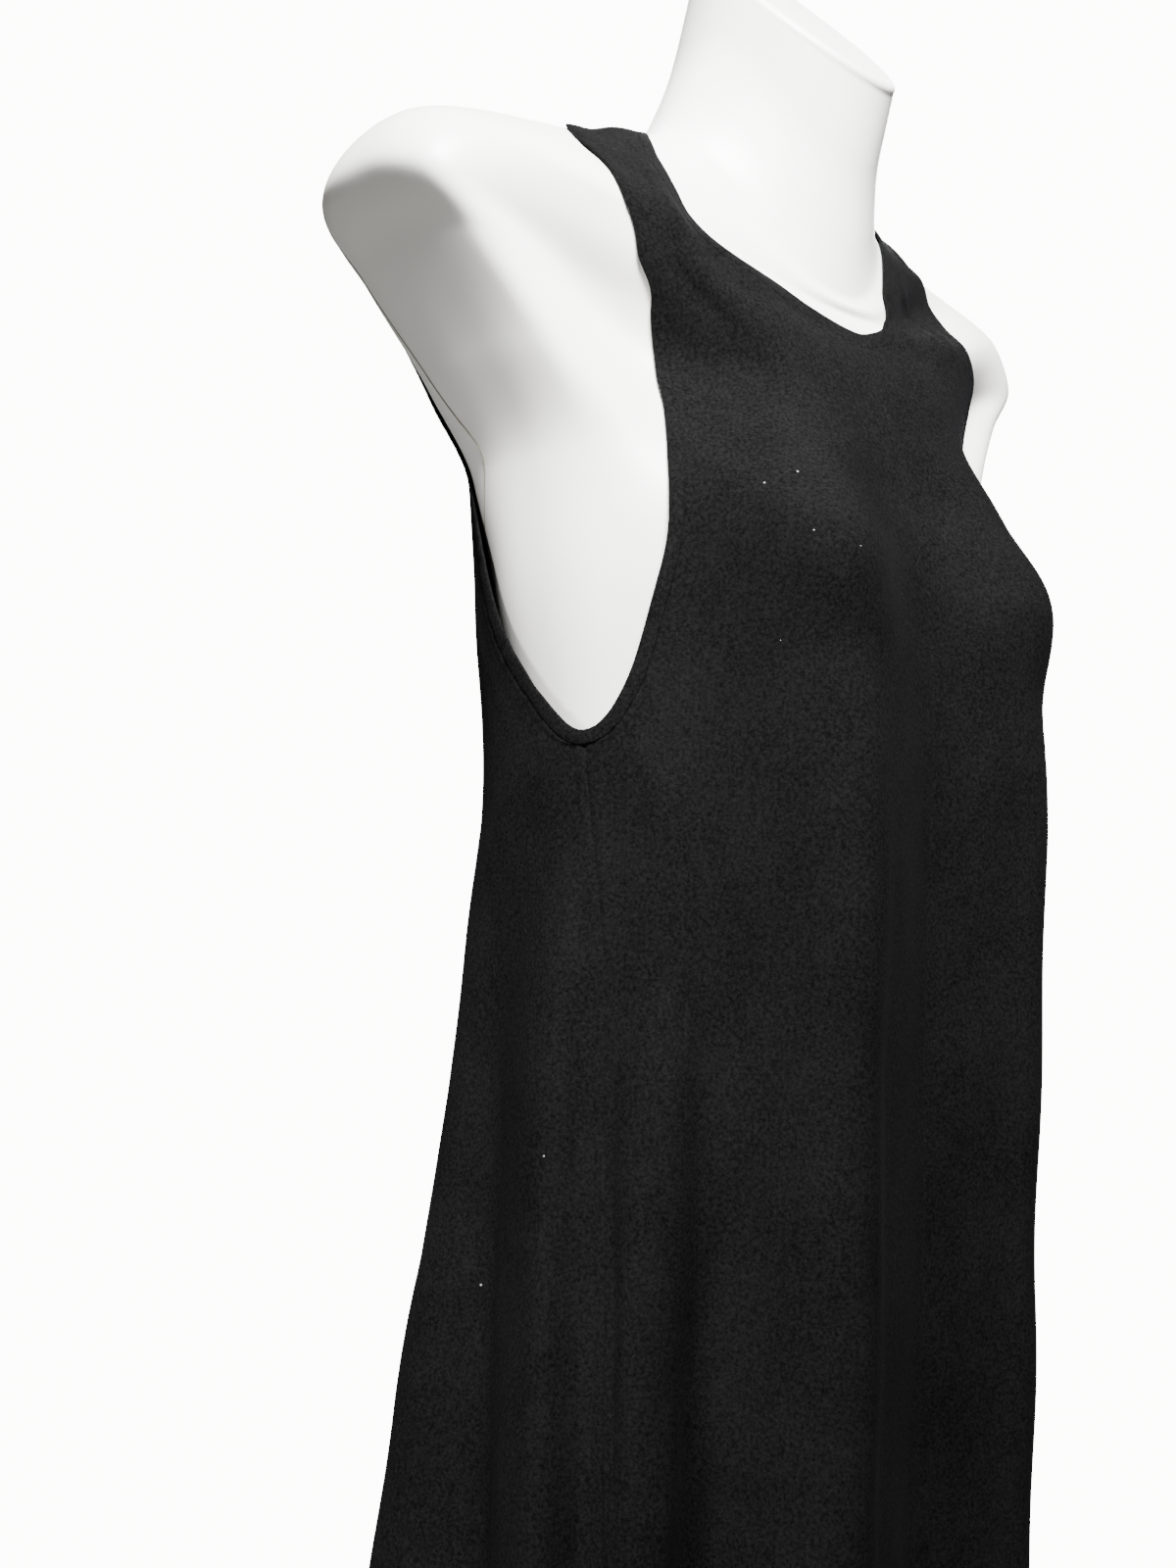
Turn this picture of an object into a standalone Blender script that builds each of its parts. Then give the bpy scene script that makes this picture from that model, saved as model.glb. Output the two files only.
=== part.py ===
"""Trapeze dress of black jersey on a limbless dress form with a round stand.

Row frame, metres, +Z up: the dress faces -Y and the wearer's right is -X. The stand's underside lies on
z = 0. The form and the cloth are lofts through rings. A ring is a rounded oval with its own width, its depth
to the front and to the back, and its heights at the side, the front and the back, so that it can climb over
a shoulder. Angle 0 is the centre front, -90 the wearer's right side and 180 the centre back.
"""

import math

import bmesh
import bpy
import numpy as np

# Driving dimensions
SHOULDER_HEIGHT = 1.360  # floor to the top of the shoulder, beside the neck
DRESS_LENGTH = 0.930  # top of the shoulder to the hem
FORM_LENGTH = 0.620  # top of the shoulder to the flat bottom of the form
WALL = 0.0015  # jersey
SEAM_GAP = 0.0003
WELD = 0.00001  # points of a panel's two halves this near each other on its centre line are one
COVER = 0.0041  # the jersey's outer face over the form, where it lies on it
BAND_WIDTH = 0.007  # neck and armhole bands
BAND_RAISE = 0.0007  # how far a band's rolled face stands over the panel

POLE_RADIUS = 0.0125
PLATE_RADIUS = 0.150
PLATE_THICKNESS = 0.008
COLLAR_RADIUS = 0.032
COLLAR_HEIGHT = 0.022
STAND_EDGE = 0.002  # its small bevels

FORM_STEP_LOW = 0.030  # longest step between the form's rings below the underarm, and above it
FORM_STEP_HIGH = 0.018
PANEL_COLUMNS = 14  # from the centre to the side seam
SKIRT_ROWS = 21  # hem to underarm
YOKE_ROWS = 23  # underarm to shoulder seam
NECK_ROWS_FRONT = 9  # of those, the rows that end on the neckline
NECK_ROWS_BACK = 7
EDGE_SAMPLES = 200
SLOPE_TURN, SLOPE_RISE = 0.05, 0.0002  # degrees and metres to each side, over which a slope is measured
FORM_COLUMNS = ((0, 15, 3), (20, 75, 12), (85.5, 180, 10))  # from front to back: first, last, count
STAND_SIDES = 48
STAND_MERGE = 0.0001

BAND_SECTION = ((0, -WALL), (0, 0), (0.5, BAND_RAISE), (1, 0), (1, -WALL))  # across it, out of the cloth
ARMHOLE_LOW = -0.322
SEAM_ANGLE_TOP, SEAM_ANGLE_HEM, SEAM_EASE = 74.0, 52.0, 0.12
STAND_Y = 0.0

# Rings of the form. A ring's level is its distance run up the side profile, which is its side height up to
# the shoulder's tip. Its heights at the side, the front and the back are from the top of the shoulder.
RING_COLUMNS = (
    "side_z", "front_z", "back_z", "half_width", "front", "back",
    "centre_y", "front_power", "back_power", "turn",
)
FORM_RINGS_TABLE = (
    ("base", -0.620, -0.620, -0.620, -0.620, 0.138, 0.082, 0.092, 0.000, 2.1, 2.2, 0),
    ("hip", -0.560, -0.560, -0.560, -0.560, 0.142, 0.086, 0.094, 0.000, 2.1, 2.2, 0),
    ("high hip", -0.480, -0.480, -0.480, -0.480, 0.134, 0.084, 0.086, 0.000, 2.0, 2.2, 0),
    ("waist", -0.400, -0.400, -0.400, -0.400, 0.120, 0.080, 0.072, 0.000, 2.0, 2.2, 0),
    ("under bust", -0.320, -0.320, -0.320, -0.320, 0.134, 0.086, 0.078, 0.000, 2.0, 2.4, -1),
    ("bust", -0.245, -0.245, -0.245, -0.245, 0.148, 0.097, 0.082, 0.000, 2.0, 2.6, -2),
    ("armpit", -0.190, -0.190, -0.192, -0.188, 0.152, 0.098, 0.088, 0.004, 2.1, 3.0, -2),
    ("arm stub", -0.140, -0.140, -0.156, -0.144, 0.174, 0.100, 0.088, 0.016, 2.3, 3.2, -2),
    ("tip low", -0.092, -0.092, -0.126, -0.100, 0.205, 0.106, 0.086, 0.032, 2.5, 3.2, -2),
    ("tip", -0.060, -0.060, -0.109, -0.074, 0.231, 0.103, 0.084, 0.038, 2.4, 3.0, -2),
    ("cap", -0.024, -0.030, -0.100, -0.0415, 0.211, 0.097, 0.068, 0.036, 2.3, 2.6, -2),
    ("slope", 0.018, -0.0205, -0.095, -0.0230, 0.170, 0.088, 0.0525, 0.030, 2.1, 2.2, -2),
    ("shoulder", 0.076, -0.0165, -0.090, -0.016, 0.112, 0.074, 0.051, 0.015, 2.0, 2.1, -2),
    ("neck base", 0.116, -0.005, -0.083, -0.002, 0.074, 0.063, 0.048, 0.006, 2.0, 2.0, -2),
    ("neck low", 0.144, 0.020, -0.060, 0.026, 0.061, 0.058, 0.048, -0.002, 2.0, 2.0, -2),
    ("neck", 0.175, 0.050, -0.020, 0.070, 0.054, 0.053, 0.052, -0.014, 2.0, 2.0, -2),
    ("neck top", 0.215, 0.090, 0.040, 0.135, 0.053, 0.053, 0.053, -0.030, 2.0, 2.0, -2),
    ("neck end", 0.255, 0.130, 0.090, 0.180, 0.053, 0.053, 0.053, -0.044, 2.0, 2.0, -2),
)
NECK_CUT_FRONT = (0.0, -0.078, 0.024)  # a point of the sloping cut, and its slope up to the back
NECK_CUT_SLOPE = math.radians(46)
NECK_RIM = 0.004
NECK_RIM_STEPS = 2

# Swellings, out of the rings. Columns: angle, level, how far out, half spans in degrees and in level.
SWELLINGS = (
    ("right bust", -27, -0.240, 0.026, 24, 0.085),
    ("left bust", 27, -0.240, 0.026, 24, 0.085),
    ("right bust point", -27, -0.244, 0.008, 17, 0.050),
    ("left bust point", 27, -0.244, 0.008, 17, 0.050),
    ("right armpit hollow", -43, -0.108, -0.035, 29, 0.120),
    ("left armpit hollow", 43, -0.108, -0.035, 29, 0.120),
    ("left hollow bridged", 43, -0.108, -0.022, 29, 0.120),
    ("left collar bone hollow", 41, 0.030, -0.014, 32, 0.075),
)
FORM_SWELLINGS = (
    "right bust", "left bust", "right armpit hollow", "left armpit hollow", "left collar bone hollow",
)
CLOTH_SWELLINGS = (
    "right bust point", "left bust point", "right armpit hollow", "left hollow bridged",
    "left collar bone hollow",
)

# Rings of the cloth below the armpit. Above it the cloth follows the form's rings.
CLOTH_RINGS_TABLE = (
    ("hem", -0.930, -0.930, -0.930, -0.930, 0.191, 0.104, 0.156, 0.010, 1.9, 2.2, 0),
    ("thigh", -0.740, -0.740, -0.740, -0.740, 0.168, 0.103, 0.136, 0.008, 1.9, 2.2, 0),
    ("hip", -0.560, -0.560, -0.560, -0.560, 0.156, 0.104, 0.111, 0.004, 1.9, 2.3, 0),
    ("waist", -0.420, -0.420, -0.420, -0.420, 0.149, 0.106, 0.092, 0.002, 1.9, 2.5, 0),
    ("underarm", -0.322, -0.322, -0.322, -0.322, 0.149, 0.110, 0.087, 0.000, 1.9, 2.6, -1),
    ("bust", -0.250, -0.250, -0.250, -0.250, 0.151, 0.108, 0.087, 0.000, 1.9, 2.8, -2),
)
FOLLOWS_FROM = "armpit"

# Hanging folds. Columns: angle at the top and at the hem, level where the fold starts and where it is full,
# depth there and at the hem (a trough is negative), half width towards the front and the back in degrees.
FOLDS = (
    ("right bust", -27, -20, -0.120, -0.238, 0.026, 0.022, 27, 28),
    ("right front trough", -40, -39, -0.330, -0.500, -0.007, -0.024, 13, 13),
    ("right side ridge", -60, -53, -0.340, -0.520, 0.006, 0.012, 12, 9),
    ("right back edge ridge", -80, -66, -0.360, -0.480, 0.008, 0.018, 7, 15),
    ("right back trough", -104, -90, -0.340, -0.520, -0.008, -0.018, 16, 16),
    ("right back ridge", -126, -116, -0.330, -0.560, 0.008, 0.018, 18, 16),
    ("right blade trough", -146, -139, -0.300, -0.520, -0.006, -0.020, 15, 14),
    ("right centre ridge", -166, -160, -0.280, -0.500, 0.007, 0.018, 16, 15),
    ("centre back trough", 178, 179, -0.300, -0.560, -0.006, -0.016, 15, 15),
    ("left centre ridge", 160, 157, -0.290, -0.520, 0.008, 0.022, 15, 15),
    ("left blade trough", 141, 135, -0.310, -0.540, -0.006, -0.018, 14, 14),
    ("left back ridge", 122, 113, -0.330, -0.520, 0.009, 0.024, 15, 17),
    ("left back trough", 102, 92, -0.340, -0.540, -0.008, -0.020, 15, 15),
    ("left side ridge", 83, 72, -0.350, -0.500, 0.008, 0.016, 12, 14),
    ("left front trough", 45, 44, -0.330, -0.520, -0.008, -0.020, 15, 16),
    ("left bust", 27, 20, -0.120, -0.238, 0.024, 0.016, 27, 24),
)

# Garment edges. Columns: angle, level.
NECKLINE = (
    ("right back", -130, 0.118),
    ("right shoulder", -90, 0.109),
    ("right strap", -68, 0.086),
    ("right collar bone", -46, 0.051),
    ("right front", -28, 0.003),
    ("right curve", -17, -0.015),
    ("right of centre", -8, -0.043),
    ("centre front", 0, -0.054),
    ("left of centre", 5, -0.034),
    ("left curve", 14, 0.045),
    ("left front", 29, 0.103),
    ("left neck side", 44, 0.113),
    ("left shoulder", 90, 0.111),
    ("left back", 130, 0.118),
    ("centre back", 180, 0.121),
)
RIGHT_ARMHOLE = (
    ("shoulder", -90, 0.064),
    ("front strap", -72, 0.042),
    ("front shoulder", -58, 0.0215),
    ("strap edge", -52, 0.0145),
    ("collar bone", -46, 0.002),
    ("upper chest", -39, -0.0195),
    ("high chest", -33.6, -0.046),
    ("over the chest", -32.2, -0.073),
    ("chest", -35, -0.098),
    ("middle chest", -39, -0.124),
    ("low chest", -46, -0.155),
    ("front", -51.5, -0.180),
    ("front bust", -53.5, -0.208),
    ("front low", -57, -0.242),
    ("underarm front", -66, -0.299),
    ("underarm", -76, -0.322),
    ("underarm back", -88, -0.303),
    ("back low", -108.5, -0.254),
    ("back", -128, -0.170),
    ("shoulder blade", -137, -0.095),
    ("back shoulder", -131, -0.028),
    ("back strap", -112, 0.034),
)
LEFT_ARMHOLE = (
    ("shoulder", 90, 0.074),
    ("front strap", 66, 0.054),
    ("front shoulder", 55, 0.036),
    ("strap edge", 47, 0.015),
    ("collar bone", 37, -0.007),
    ("upper chest", 31, -0.038),
    ("high chest", 32, -0.075),
    ("chest", 40, -0.120),
    ("low chest", 48, -0.157),
    ("front", 52, -0.182),
    ("front bust", 54, -0.208),
    ("front low", 57.5, -0.242),
    ("underarm front", 66, -0.299),
    ("underarm", 76, -0.322),
    ("underarm back", 88, -0.303),
    ("back low", 108.5, -0.254),
    ("back", 128, -0.170),
    ("shoulder blade", 137, -0.095),
    ("back shoulder", 130, -0.020),
    ("back strap", 111, 0.046),
)


def clear_scene():
    for item in list(bpy.data.objects):
        bpy.data.objects.remove(item, do_unlink=True)


def smooth_through(places, values, at):
    """Cubic curve through values at increasing places, with no overshoot (a monotone Hermite spline)."""
    x = np.asarray(places, float)
    y = np.asarray(values, float)
    step = np.diff(x)
    slope = np.diff(y) / step
    tangent = np.zeros_like(y)
    same = slope[1:] * slope[:-1] > 0
    inner = np.zeros(len(y) - 2)
    inner[same] = 2 * slope[1:][same] * slope[:-1][same] / (slope[1:][same] + slope[:-1][same])
    tangent[1:-1] = inner
    tangent[0] = slope[0]
    tangent[-1] = slope[-1]
    at = np.clip(at, x[0], x[-1])
    cell = np.clip(np.searchsorted(x, at, side="right") - 1, 0, len(x) - 2)
    t = (at - x[cell]) / step[cell]
    a = y[cell] * (1 + 2 * t) * (1 - t) ** 2 + tangent[cell] * step[cell] * t * (1 - t) ** 2
    b = y[cell + 1] * t * t * (3 - 2 * t) - tangent[cell + 1] * step[cell] * t * t * (1 - t)
    return a + b


def ring_sizes(table, level):
    """The ring's columns at this level, read from the table by smooth curves."""
    rows = np.array([row[1:] for row in table], float)
    return {
        name: smooth_through(rows[:, 0], rows[:, index + 1], level)
        for index, name in enumerate(RING_COLUMNS)
    }


def turned_by(points, degrees):
    """Points turned about the vertical axis, seen from above against the clock."""
    s = np.sin(np.radians(degrees))
    c = np.cos(np.radians(degrees))
    x, y, z = np.moveaxis(points, -1, 0)
    return np.stack([x * c - y * s, x * s + y * c, z], -1)


def ring_points(table, angle, level):
    """Points of the loft at an angle in degrees and a level."""
    angle, level = np.broadcast_arrays(np.asarray(angle, float), np.asarray(level, float))
    ring = ring_sizes(table, level)
    s = np.sin(np.radians(angle))
    c = np.cos(np.radians(angle))
    ahead = c > 0
    power = np.where(ahead, ring["front_power"], ring["back_power"])
    bulge = (np.abs(s) ** power + np.abs(c) ** power) ** (-1 / power)
    depth = np.where(ahead, ring["front"], ring["back"])
    x = ring["half_width"] * s * bulge
    y = ring["centre_y"] - depth * c * bulge
    z = ring["side_z"] + (np.where(ahead, ring["front_z"], ring["back_z"]) - ring["side_z"]) * c * c
    return turned_by(np.stack([x, y, z], -1), ring["turn"])


def cloth_table():
    """The cloth's own rings, then the form's rings, over which it lies."""
    names = [row[0] for row in FORM_RINGS_TABLE]
    return CLOTH_RINGS_TABLE + FORM_RINGS_TABLE[names.index(FOLLOWS_FROM):]


CLOTH_TABLE = cloth_table()


def hump(offset, width_low, width_high):
    """1 at offset 0, falling to 0 with level ends at each width, where the two sides may differ."""
    width = np.where(offset < 0, width_low, width_high)
    t = np.clip(np.abs(offset) / width, 0, 1)
    return np.cos(0.5 * np.pi * t) ** 2


def wrap(angle):
    return (angle + 180) % 360 - 180


def outward(angle, ring):
    """Level direction out of the ring."""
    s = np.sin(np.radians(angle)) * 0.5 * (ring["front"] + ring["back"])
    c = np.cos(np.radians(angle)) * ring["half_width"]
    return turned_by(np.stack([s, -c, np.zeros_like(s)], -1) / np.hypot(s, c)[..., None], ring["turn"])


def fold_depth(angle, level):
    """How far the folds move the cloth out at each place: a ridge is positive and a trough negative."""
    total = np.zeros(np.broadcast(angle, level).shape)
    for _, top, hem, start, full, deep, deep_hem, front_width, back_width in FOLDS:
        fall = np.clip((start - level) / (start - full), 0, 1)
        grown = fall * fall * (3 - 2 * fall)
        along = np.clip((full - level) / (full + DRESS_LENGTH), 0, 1)
        centre = top + (hem - top) * along
        depth = deep + (deep_hem - deep) * along
        offset = wrap(angle - centre)
        low, high = (back_width, front_width) if top < 0 else (front_width, back_width)
        total = total + depth * grown * hump(offset, low, high)
    return total


def swelling(names, angle, level):
    """How far the named swellings move a surface out."""
    total = np.zeros(np.broadcast(angle, level).shape)
    for name, round_by, up, out, span_angle, span_up in SWELLINGS:
        if name in names:
            around = hump(wrap(angle - round_by), span_angle, span_angle)
            total = total + out * around * hump(level - up, span_up, span_up)
    return total


def body_points(angle, level):
    """The surface that the cloth covers: the form where it lies on it, and below that its own shape."""
    angle, level = np.broadcast_arrays(np.asarray(angle, float), np.asarray(level, float))
    out = fold_depth(angle, level) + swelling(CLOTH_SWELLINGS, angle, level)
    base = ring_points(CLOTH_TABLE, angle, level)
    return base + out[..., None] * outward(angle, ring_sizes(CLOTH_TABLE, level))


def form_points(angle, level):
    angle, level = np.broadcast_arrays(np.asarray(angle, float), np.asarray(level, float))
    out = swelling(FORM_SWELLINGS, angle, level)
    base = ring_points(FORM_RINGS_TABLE, angle, level)
    return base + out[..., None] * outward(angle, ring_sizes(FORM_RINGS_TABLE, level))


def slopes(surface, angle, level):
    """Outward normal of a surface, with its slopes by angle and by level."""
    by_angle = (surface(angle + SLOPE_TURN, level) - surface(angle - SLOPE_TURN, level)) / (2 * SLOPE_TURN)
    by_level = (surface(angle, level + SLOPE_RISE) - surface(angle, level - SLOPE_RISE)) / (2 * SLOPE_RISE)
    normal = np.cross(by_angle, by_level)
    return normal / np.linalg.norm(normal, axis=-1, keepdims=True), by_angle, by_level


def cloth_points(angle, level, under=0.0):
    """Points of the cloth's outer face, or this far under it."""
    normal, _, _ = slopes(body_points, angle, level)
    return body_points(angle, level) + (COVER - under) * normal


def evenly(places, count):
    """This many places at even real distances along an edge given by its (angle, level) places."""
    point = cloth_points(places[:, 0], places[:, 1])
    run = np.concatenate([[0], np.cumsum(np.linalg.norm(np.diff(point, axis=0), axis=1))])
    at = np.linspace(0, run[-1], count)
    return np.stack([np.interp(at, run, places[:, k]) for k in (0, 1)], -1)


def armhole_loop(side):
    """Stations round an armhole: shoulder, front, underarm, back. Side -1 is the wearer's right."""
    table = LEFT_ARMHOLE if side > 0 else RIGHT_ARMHOLE
    knots = np.array([row[1:] for row in table], float)
    count = len(knots)
    low = [row[0] for row in table].index("underarm")

    def curve(at):
        cell = np.floor(at).astype(int)
        t = (at - cell)[:, None]
        before, start, end, after = (knots[(cell + step) % count] for step in (-1, 0, 1, 2))
        square = (2 * before - 5 * start + 4 * end - after) * t**2
        cube = (3 * start - before - 3 * end + after) * t**3
        return start + 0.5 * ((end - before) * t + square + cube)

    front = evenly(curve(np.linspace(0, low, EDGE_SAMPLES)), YOKE_ROWS)
    back = evenly(curve(np.linspace(low, count, EDGE_SAMPLES)), YOKE_ROWS)
    return np.concatenate([front[:-1], back[:-1]])


def neck_loop():
    """Stations round the neckline: centre front, right shoulder, centre back, left shoulder."""
    rows = np.array([row[1:] for row in NECKLINE], float)
    rows = np.concatenate([rows[-1:] - (360, 0), rows, rows[:1] + (360, 0)])

    def quarter(start, end, count):
        angle = np.linspace(start, end, EDGE_SAMPLES)
        return evenly(np.stack([angle, smooth_through(rows[:, 0], rows[:, 1], angle)], -1), count)[:-1]

    front, back = NECK_ROWS_FRONT, NECK_ROWS_BACK
    return np.concatenate(
        [quarter(0, -90, front), quarter(-90, -180, back), quarter(180, 90, back), quarter(90, 0, front)]
    )


def beside(loop, distance):
    """The loop's stations moved this far on the cloth, to the left of its way round as seen from outside."""
    step = np.roll(loop, -1, axis=0) - np.roll(loop, 1, axis=0)
    step[:, 0] = wrap(step[:, 0])
    normal, by_angle, by_level = slopes(body_points, loop[:, 0], loop[:, 1])
    along = by_angle * step[:, :1] + by_level * step[:, 1:]
    across = np.cross(normal, along)
    across *= distance / np.linalg.norm(across, axis=-1, keepdims=True)
    aa = (by_angle**2).sum(-1)
    ab = (by_angle * by_level).sum(-1)
    bb = (by_level**2).sum(-1)
    pa = (across * by_angle).sum(-1)
    pb = (across * by_level).sum(-1)
    det = aa * bb - ab * ab
    return loop + np.stack([(pa * bb - pb * ab) / det, (pb * aa - pa * ab) / det], -1)


def side_seam_angle(level):
    """How far round from the front the side seam runs: further forward towards the hem."""
    down = np.clip((ARMHOLE_LOW - level) / (ARMHOLE_LOW + DRESS_LENGTH), 0, 1)
    return SEAM_ANGLE_TOP + (SEAM_ANGLE_HEM - SEAM_ANGLE_TOP) * down


def half_panel(back, side):
    """(angle, level) of a grid from the hem to the shoulder and from the centre to the side seam."""
    inset = -side * (BAND_WIDTH + SEAM_GAP)
    armhole = beside(armhole_loop(side), inset)
    neck = beside(neck_loop(), BAND_WIDTH + SEAM_GAP)
    neck[:, 0] = wrap(neck[:, 0])
    front_steps, back_steps = NECK_ROWS_FRONT - 1, NECK_ROWS_BACK - 1
    if back:
        outer = np.concatenate([armhole[YOKE_ROWS - 1:], armhole[:1]])
        inner = neck[front_steps + back_steps + side * np.arange(back_steps + 1)]
    else:
        outer = armhole[:YOKE_ROWS][::-1]
        inner = neck[side * -np.arange(front_steps + 1)]
    inner[:, 0] = side * np.abs(inner[:, 0])
    centre = 180.0 * side if back else 0.0
    low = ARMHOLE_LOW - BAND_WIDTH - SEAM_GAP
    up_centre = np.linspace(low, inner[0, 1], EDGE_SAMPLES)
    centre_line = np.stack([np.full(EDGE_SAMPLES, centre), up_centre], -1)
    centre_line = evenly(centre_line, YOKE_ROWS - len(inner) + 1)
    inner[0, 0] = centre
    inner = np.concatenate([centre_line[:-1], inner])
    skirt = np.linspace(-DRESS_LENGTH, low, SKIRT_ROWS)[:-1]
    seam = side * side_seam_angle(skirt)
    seam += (outer[0, 0] - side * side_seam_angle(low)) * hump(low - skirt, SEAM_EASE, SEAM_EASE)
    inner = np.concatenate([np.stack([np.full(len(skirt), centre), skirt], -1), inner])
    outer = np.concatenate([np.stack([seam, skirt], -1), outer])
    across = np.linspace(0, 1, PANEL_COLUMNS + 1)[None, :, None]
    return inner[:, None] * (1 - across) + outer[:, None] * across


def parted(points, rows, columns):
    """The grid with these outside rows and columns drawn back by half a seam's gap."""
    points = points.copy()
    for axis, ends in ((0, rows), (1, columns)):
        lines = np.moveaxis(points, axis, 0)
        for end in ends:
            inward = lines[1 if end == 0 else -2] - lines[end]
            lines[end] += 0.5 * SEAM_GAP * inward / np.linalg.norm(inward, axis=-1, keepdims=True)
    return points


def half_panel_points(back, side, under):
    """One half of the front or the back, this far under the cloth's outer face, in the row's frame."""
    place = half_panel(back, side)
    points = cloth_points(place[..., 0], place[..., 1], under) + (0, 0, SHOULDER_HEIGHT)
    return parted(points, rows=(-1,), columns=(-1,) if back else (0, -1))


def grid_faces(rows, columns, closed=False, flip=False):
    """Quads of a grid of rows by columns, the last column joined to the first where closed."""
    number = np.arange(rows * columns).reshape(rows, columns)
    if closed:
        number = np.concatenate([number, number[:, :1]], axis=1)
    quads = np.stack([number[:-1, :-1], number[:-1, 1:], number[1:, 1:], number[1:, :-1]], -1).reshape(-1, 4)
    return quads[:, ::-1] if flip else quads


def new_object(name, points, faces, material):
    mesh = bpy.data.meshes.new(name)
    mesh.from_pydata([tuple(p) for p in np.reshape(points, (-1, 3))], [], [tuple(map(int, f)) for f in faces])
    mesh.validate()
    mesh.shade_smooth()
    mesh.materials.append(material)
    item = bpy.data.objects.new(name, mesh)
    DRESS_PARTS.objects.link(item)
    return item


def new_wall(name, outer, inner, faces, material):
    """A closed wall from its outer and inner points, its outer side's faces and a rim round its edges."""
    count = len(outer)
    edges = np.stack([faces, np.roll(faces, -1, axis=1)], -1).reshape(-1, 2)
    rim = edges[~np.isin(edges @ (count, 1), edges @ (1, count))]
    rim_faces = np.stack([rim[:, 1], rim[:, 0], rim[:, 0] + count, rim[:, 1] + count], -1)
    all_faces = np.concatenate([faces, faces[:, ::-1] + count, rim_faces])
    return new_object(name, np.concatenate([outer, inner]), all_faces, material)


def half_front(name, side, jersey):
    outer = half_panel_points(False, side, 0)
    inner = half_panel_points(False, side, WALL)
    faces = grid_faces(*outer.shape[:2], flip=side < 0)
    new_wall(name, outer.reshape(-1, 3), inner.reshape(-1, 3), faces, jersey)


def back_panel(jersey):
    """Both halves of the back, joined down the centre."""
    layers = [
        np.concatenate([half_panel_points(True, side, under).reshape(-1, 3) for side in (-1, 1)])
        for under in (0, WALL)
    ]
    rows, columns = half_panel(True, 1).shape[:2]
    faces = np.concatenate([grid_faces(rows, columns), grid_faces(rows, columns, flip=True) + rows * columns])
    _, first, number = np.unique(np.round(layers[0] / WELD), axis=0, return_index=True, return_inverse=True)
    new_wall("back", layers[0][first], layers[1][first], number.reshape(-1)[faces], jersey)


def band(name, loop, side, jersey):
    """A rolled band round a garment edge: five corners at each station, from the edge to the seam."""
    corners = []
    for across, out in BAND_SECTION:
        place = beside(loop, -side * across * BAND_WIDTH)
        corners.append(cloth_points(place[:, 0], place[:, 1], -out))
    points = np.stack(corners) + (0, 0, SHOULDER_HEIGHT)
    corner, station = points.shape[:2]
    faces = grid_faces(corner + 1, station, closed=True, flip=side > 0) % (corner * station)
    new_object(name, points, faces, jersey)


def form_angles():
    """Columns of the form, closer together across the bust and the armpit hollows, on both sides."""
    half = np.concatenate([np.linspace(*run) for run in FORM_COLUMNS])
    return np.concatenate([half, -half[-2:0:-1]])


def form_levels():
    """Levels of the form's rings: the table's own, and more between rings that lie far apart."""
    marks = [row[1] for row in FORM_RINGS_TABLE]
    found = [marks[0]]
    for mark in marks[1:]:
        step = FORM_STEP_LOW if mark < ARMHOLE_LOW else FORM_STEP_HIGH
        apart = form_points(form_angles(), mark) - form_points(form_angles(), found[-1])
        parts = math.ceil(np.linalg.norm(apart, axis=-1).max() / step)
        found += list(np.linspace(found[-1], mark, parts + 1)[1:])
    return np.array(found)


def dress_form(plastic):
    """Rings from the flat bottom to the neck, whose top is cut by a sloping plane and gets a round rim."""
    rings = form_levels()
    angles = form_angles()
    points = form_points(angles[None], rings[:, None]) + (0, 0, SHOULDER_HEIGHT)
    faces = [tuple(quad) for quad in grid_faces(len(rings), len(angles), closed=True)]
    faces.append(tuple(range(len(angles)))[::-1])
    item = new_object("dress_form", points, faces, plastic)
    front_x, front_y, front_z = NECK_CUT_FRONT
    slope = (0, -math.sin(NECK_CUT_SLOPE), math.cos(NECK_CUT_SLOPE))
    cut = bmesh.new()
    cut.from_mesh(item.data)
    bmesh.ops.bisect_plane(
        cut,
        geom=cut.verts[:] + cut.edges[:] + cut.faces[:],
        plane_co=(front_x, front_y, front_z + SHOULDER_HEIGHT),
        plane_no=slope,
        clear_outer=True,
    )
    rim = [edge for edge in cut.edges if edge.is_boundary]
    bmesh.ops.contextual_create(cut, geom=rim)
    bmesh.ops.bevel(cut, geom=rim, offset=NECK_RIM, segments=NECK_RIM_STEPS, profile=0.5, affect="EDGES")
    cut.to_mesh(item.data)
    cut.free()


def turned(name, profile, material):
    """A round piece about the stand's axis, from (radius, height) points from its top down to its bottom."""
    points = [(radius, 0, height) for radius, height in profile]
    item = new_object(name, points, [], material)
    count = len(points)
    item.data.edges.add(count - 1)
    item.data.edges.foreach_set("vertices", np.stack([np.arange(count - 1), np.arange(1, count)], -1).ravel())
    screw = item.modifiers.new("turn", "SCREW")
    screw.steps = screw.render_steps = STAND_SIDES
    screw.use_merge_vertices = True
    screw.merge_threshold = STAND_MERGE
    item.location = (0, STAND_Y, 0)


def stand(metal):
    top = SHOULDER_HEIGHT - FORM_LENGTH - SEAM_GAP
    collar_low = top - COLLAR_HEIGHT
    turned(
        "base_plate",
        (
            (0, PLATE_THICKNESS),
            (PLATE_RADIUS - STAND_EDGE, PLATE_THICKNESS),
            (PLATE_RADIUS, PLATE_THICKNESS - STAND_EDGE),
            (PLATE_RADIUS, 0),
            (0, 0),
        ),
        metal,
    )
    turned(
        "pole",
        (
            (0, top),
            (COLLAR_RADIUS, top),
            (COLLAR_RADIUS, collar_low + STAND_EDGE),
            (COLLAR_RADIUS - STAND_EDGE, collar_low),
            (POLE_RADIUS, collar_low),
            (POLE_RADIUS, PLATE_THICKNESS + SEAM_GAP),
            (0, PLATE_THICKNESS + SEAM_GAP),
        ),
        metal,
    )


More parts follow.
